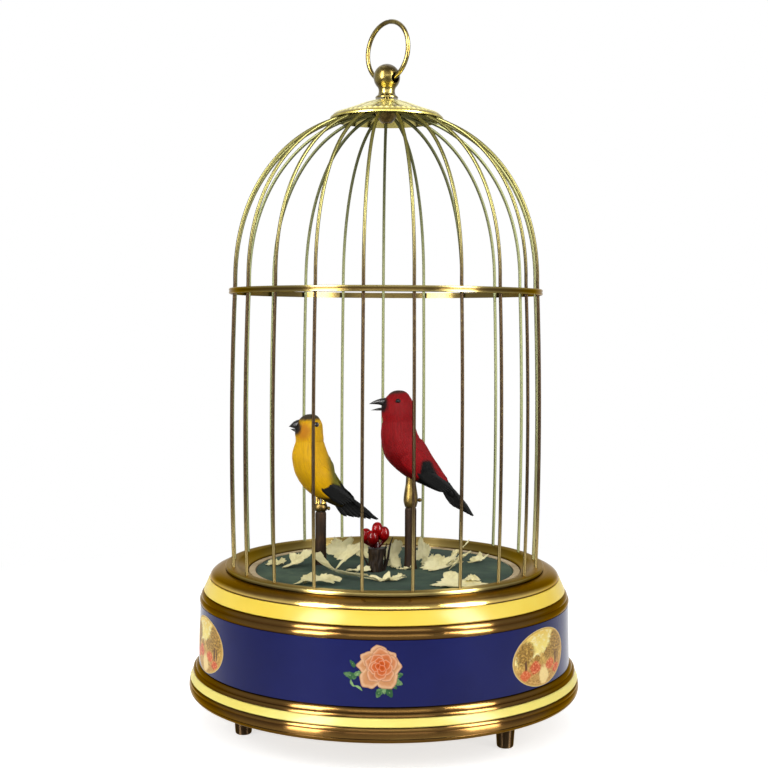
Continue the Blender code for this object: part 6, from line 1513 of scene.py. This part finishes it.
def meadow(name, turn, paint):
    """An oval print with a gold edge, laid on the drum."""
    rings, count = 16, 80
    verts = [on_drum(turn, 0.0, MEADOW_UP, 0.09)]
    facts = {"u": [0.0], "v": [0.0], "rim": [0.0]}
    for ring in range(1, rings + 1):
        s = ring / rings
        for a in angles(count):
            x, y = s * math.cos(a), s * math.sin(a)
            lift = 0.09 if ring < rings else 0.03
            verts.append(on_drum(turn, MEADOW_HALF[0] * x, MEADOW_HALF[1] * y + MEADOW_UP, lift))
            for key, value in (("u", x), ("v", y), ("rim", s)):
                facts[key].append(value)
    piece(name, verts, disc_faces(rings, count), paint, "base", facts=facts)


def decorations():
    petals, greens, meadows = petal_paint(), leaf_paint(), meadow_paint()
    for i, degrees in enumerate(ROSE_TURNS):
        heap, leaves_heap = Heap("edge", "depth"), Heap("edge", "depth")
        rose(heap, leaves_heap, math.radians(degrees))
        heap.piece(f"rose_print_{i + 1}", petals, "base", slot="cream_enamel")
        leaves_heap.piece(f"rose_leaves_{i + 1}", greens, "base", slot="green_floor")
    for i, degrees in enumerate(MEADOW_TURNS):
        meadow(f"meadow_print_{i + 1}", math.radians(degrees), meadows)


# The bellows get a pleated skin; the underside and the clockwork keep their solids and get their finish

BELLOWS_X, BELLOWS_Y, BELLOWS_CORNER = (39.0, 59.0), (-22.8, 13.5), 2.0
BELLOWS_LOW, HINGE_Y, HINGE_Z, BOARD_SLOPE = 26.5, 16.0, 27.0, math.tan(math.radians(9.0))
LEATHER_THICK = 0.45


def bellows_point(turn, inset):
    """A point of the bellows' outline, with eased corners, drawn in by an inset."""
    half_x, half_y = (BELLOWS_X[1] - BELLOWS_X[0]) / 2 - inset, (BELLOWS_Y[1] - BELLOWS_Y[0]) / 2 - inset
    way = Vector((math.cos(turn), math.sin(turn)))
    reach = min(half_x / max(1e-6, abs(way.x)), half_y / max(1e-6, abs(way.y)))
    x, y = way * reach
    limit = half_x - 0.3 * BELLOWS_CORNER * abs(y / half_y) ** 12
    return sum(BELLOWS_X) / 2 + max(-limit, min(limit, x)), sum(BELLOWS_Y) / 2 + y


def board_gap(y):
    """The height between the bellows box and its sloping board."""
    return HINGE_Z + (HINGE_Y - y) * BOARD_SLOPE - 0.39 - BELLOWS_LOW


def bellows_folds():
    """A thin pleated skin round the wedge between the bellows box and its board."""
    count, steps = 72, 20
    turns = [math.tau * (k + 0.5) / count for k in range(count)]
    verts = []
    for shell in (0, 1):
        for i in range(steps + 1):
            t = i / steps if shell == 0 else 1.0 - i / steps
            for turn in turns:
                gap = board_gap(bellows_point(turn, 0.0)[1])
                fold = 0.1 + 2.0 * min(1.0, gap / 6.0) * abs(math.sin(math.tau * t)) ** 0.9
                x, y = bellows_point(turn, fold + LEATHER_THICK * shell)
                verts.append(Vector((x, y, BELLOWS_LOW + t * board_gap(y))))
    faces = grid_faces(2 * (steps + 1), count, round_rows=True)
    leather = "bellows_leather"
    skin = piece("bellows_folds", verts, faces, hide(), "base", (leather,), sharp=60.0)
    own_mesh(skin)


def clockwork():
    brass = plain_brass("plate_brass", (0.34, 0.22, 0.07, 1), (0.66, 0.46, 0.17, 1), 0.3, 60.0)
    plate = plain_brass("bottom_brass", (0.07, 0.045, 0.02, 1), (0.22, 0.15, 0.06, 1), 0.38, 50.0)
    steel = plain_brass("blued_steel", (0.16, 0.16, 0.17, 1), (0.44, 0.44, 0.46, 1), 0.28, 120.0)
    finish = {
        plate: "bottom_plate",
        wood(): "bellows_box bellows_board",
        steel: "mainspring winding_arbor ratchet_click whistle_piston stop_lever red_head_spindle"
               " yellow_head_spindle",
        brass: "movement_lower_plate movement_upper_plate spring_barrel winding_key second_wheel third_wheel"
               " governor_fly cam_stack whistle_tube red_head_lever yellow_head_lever",
    }
    for paint, names in finish.items():
        for name in names.split():
            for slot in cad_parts[name].material_slots:
                slot.material = paint.mat


for build in (
    camera, studio, floor, base, cage, crown, finial, hanging_ring, cage_floor, leaves, stump, berries,
    perches, birds, decorations, bellows_folds, clockwork,
):
    build()
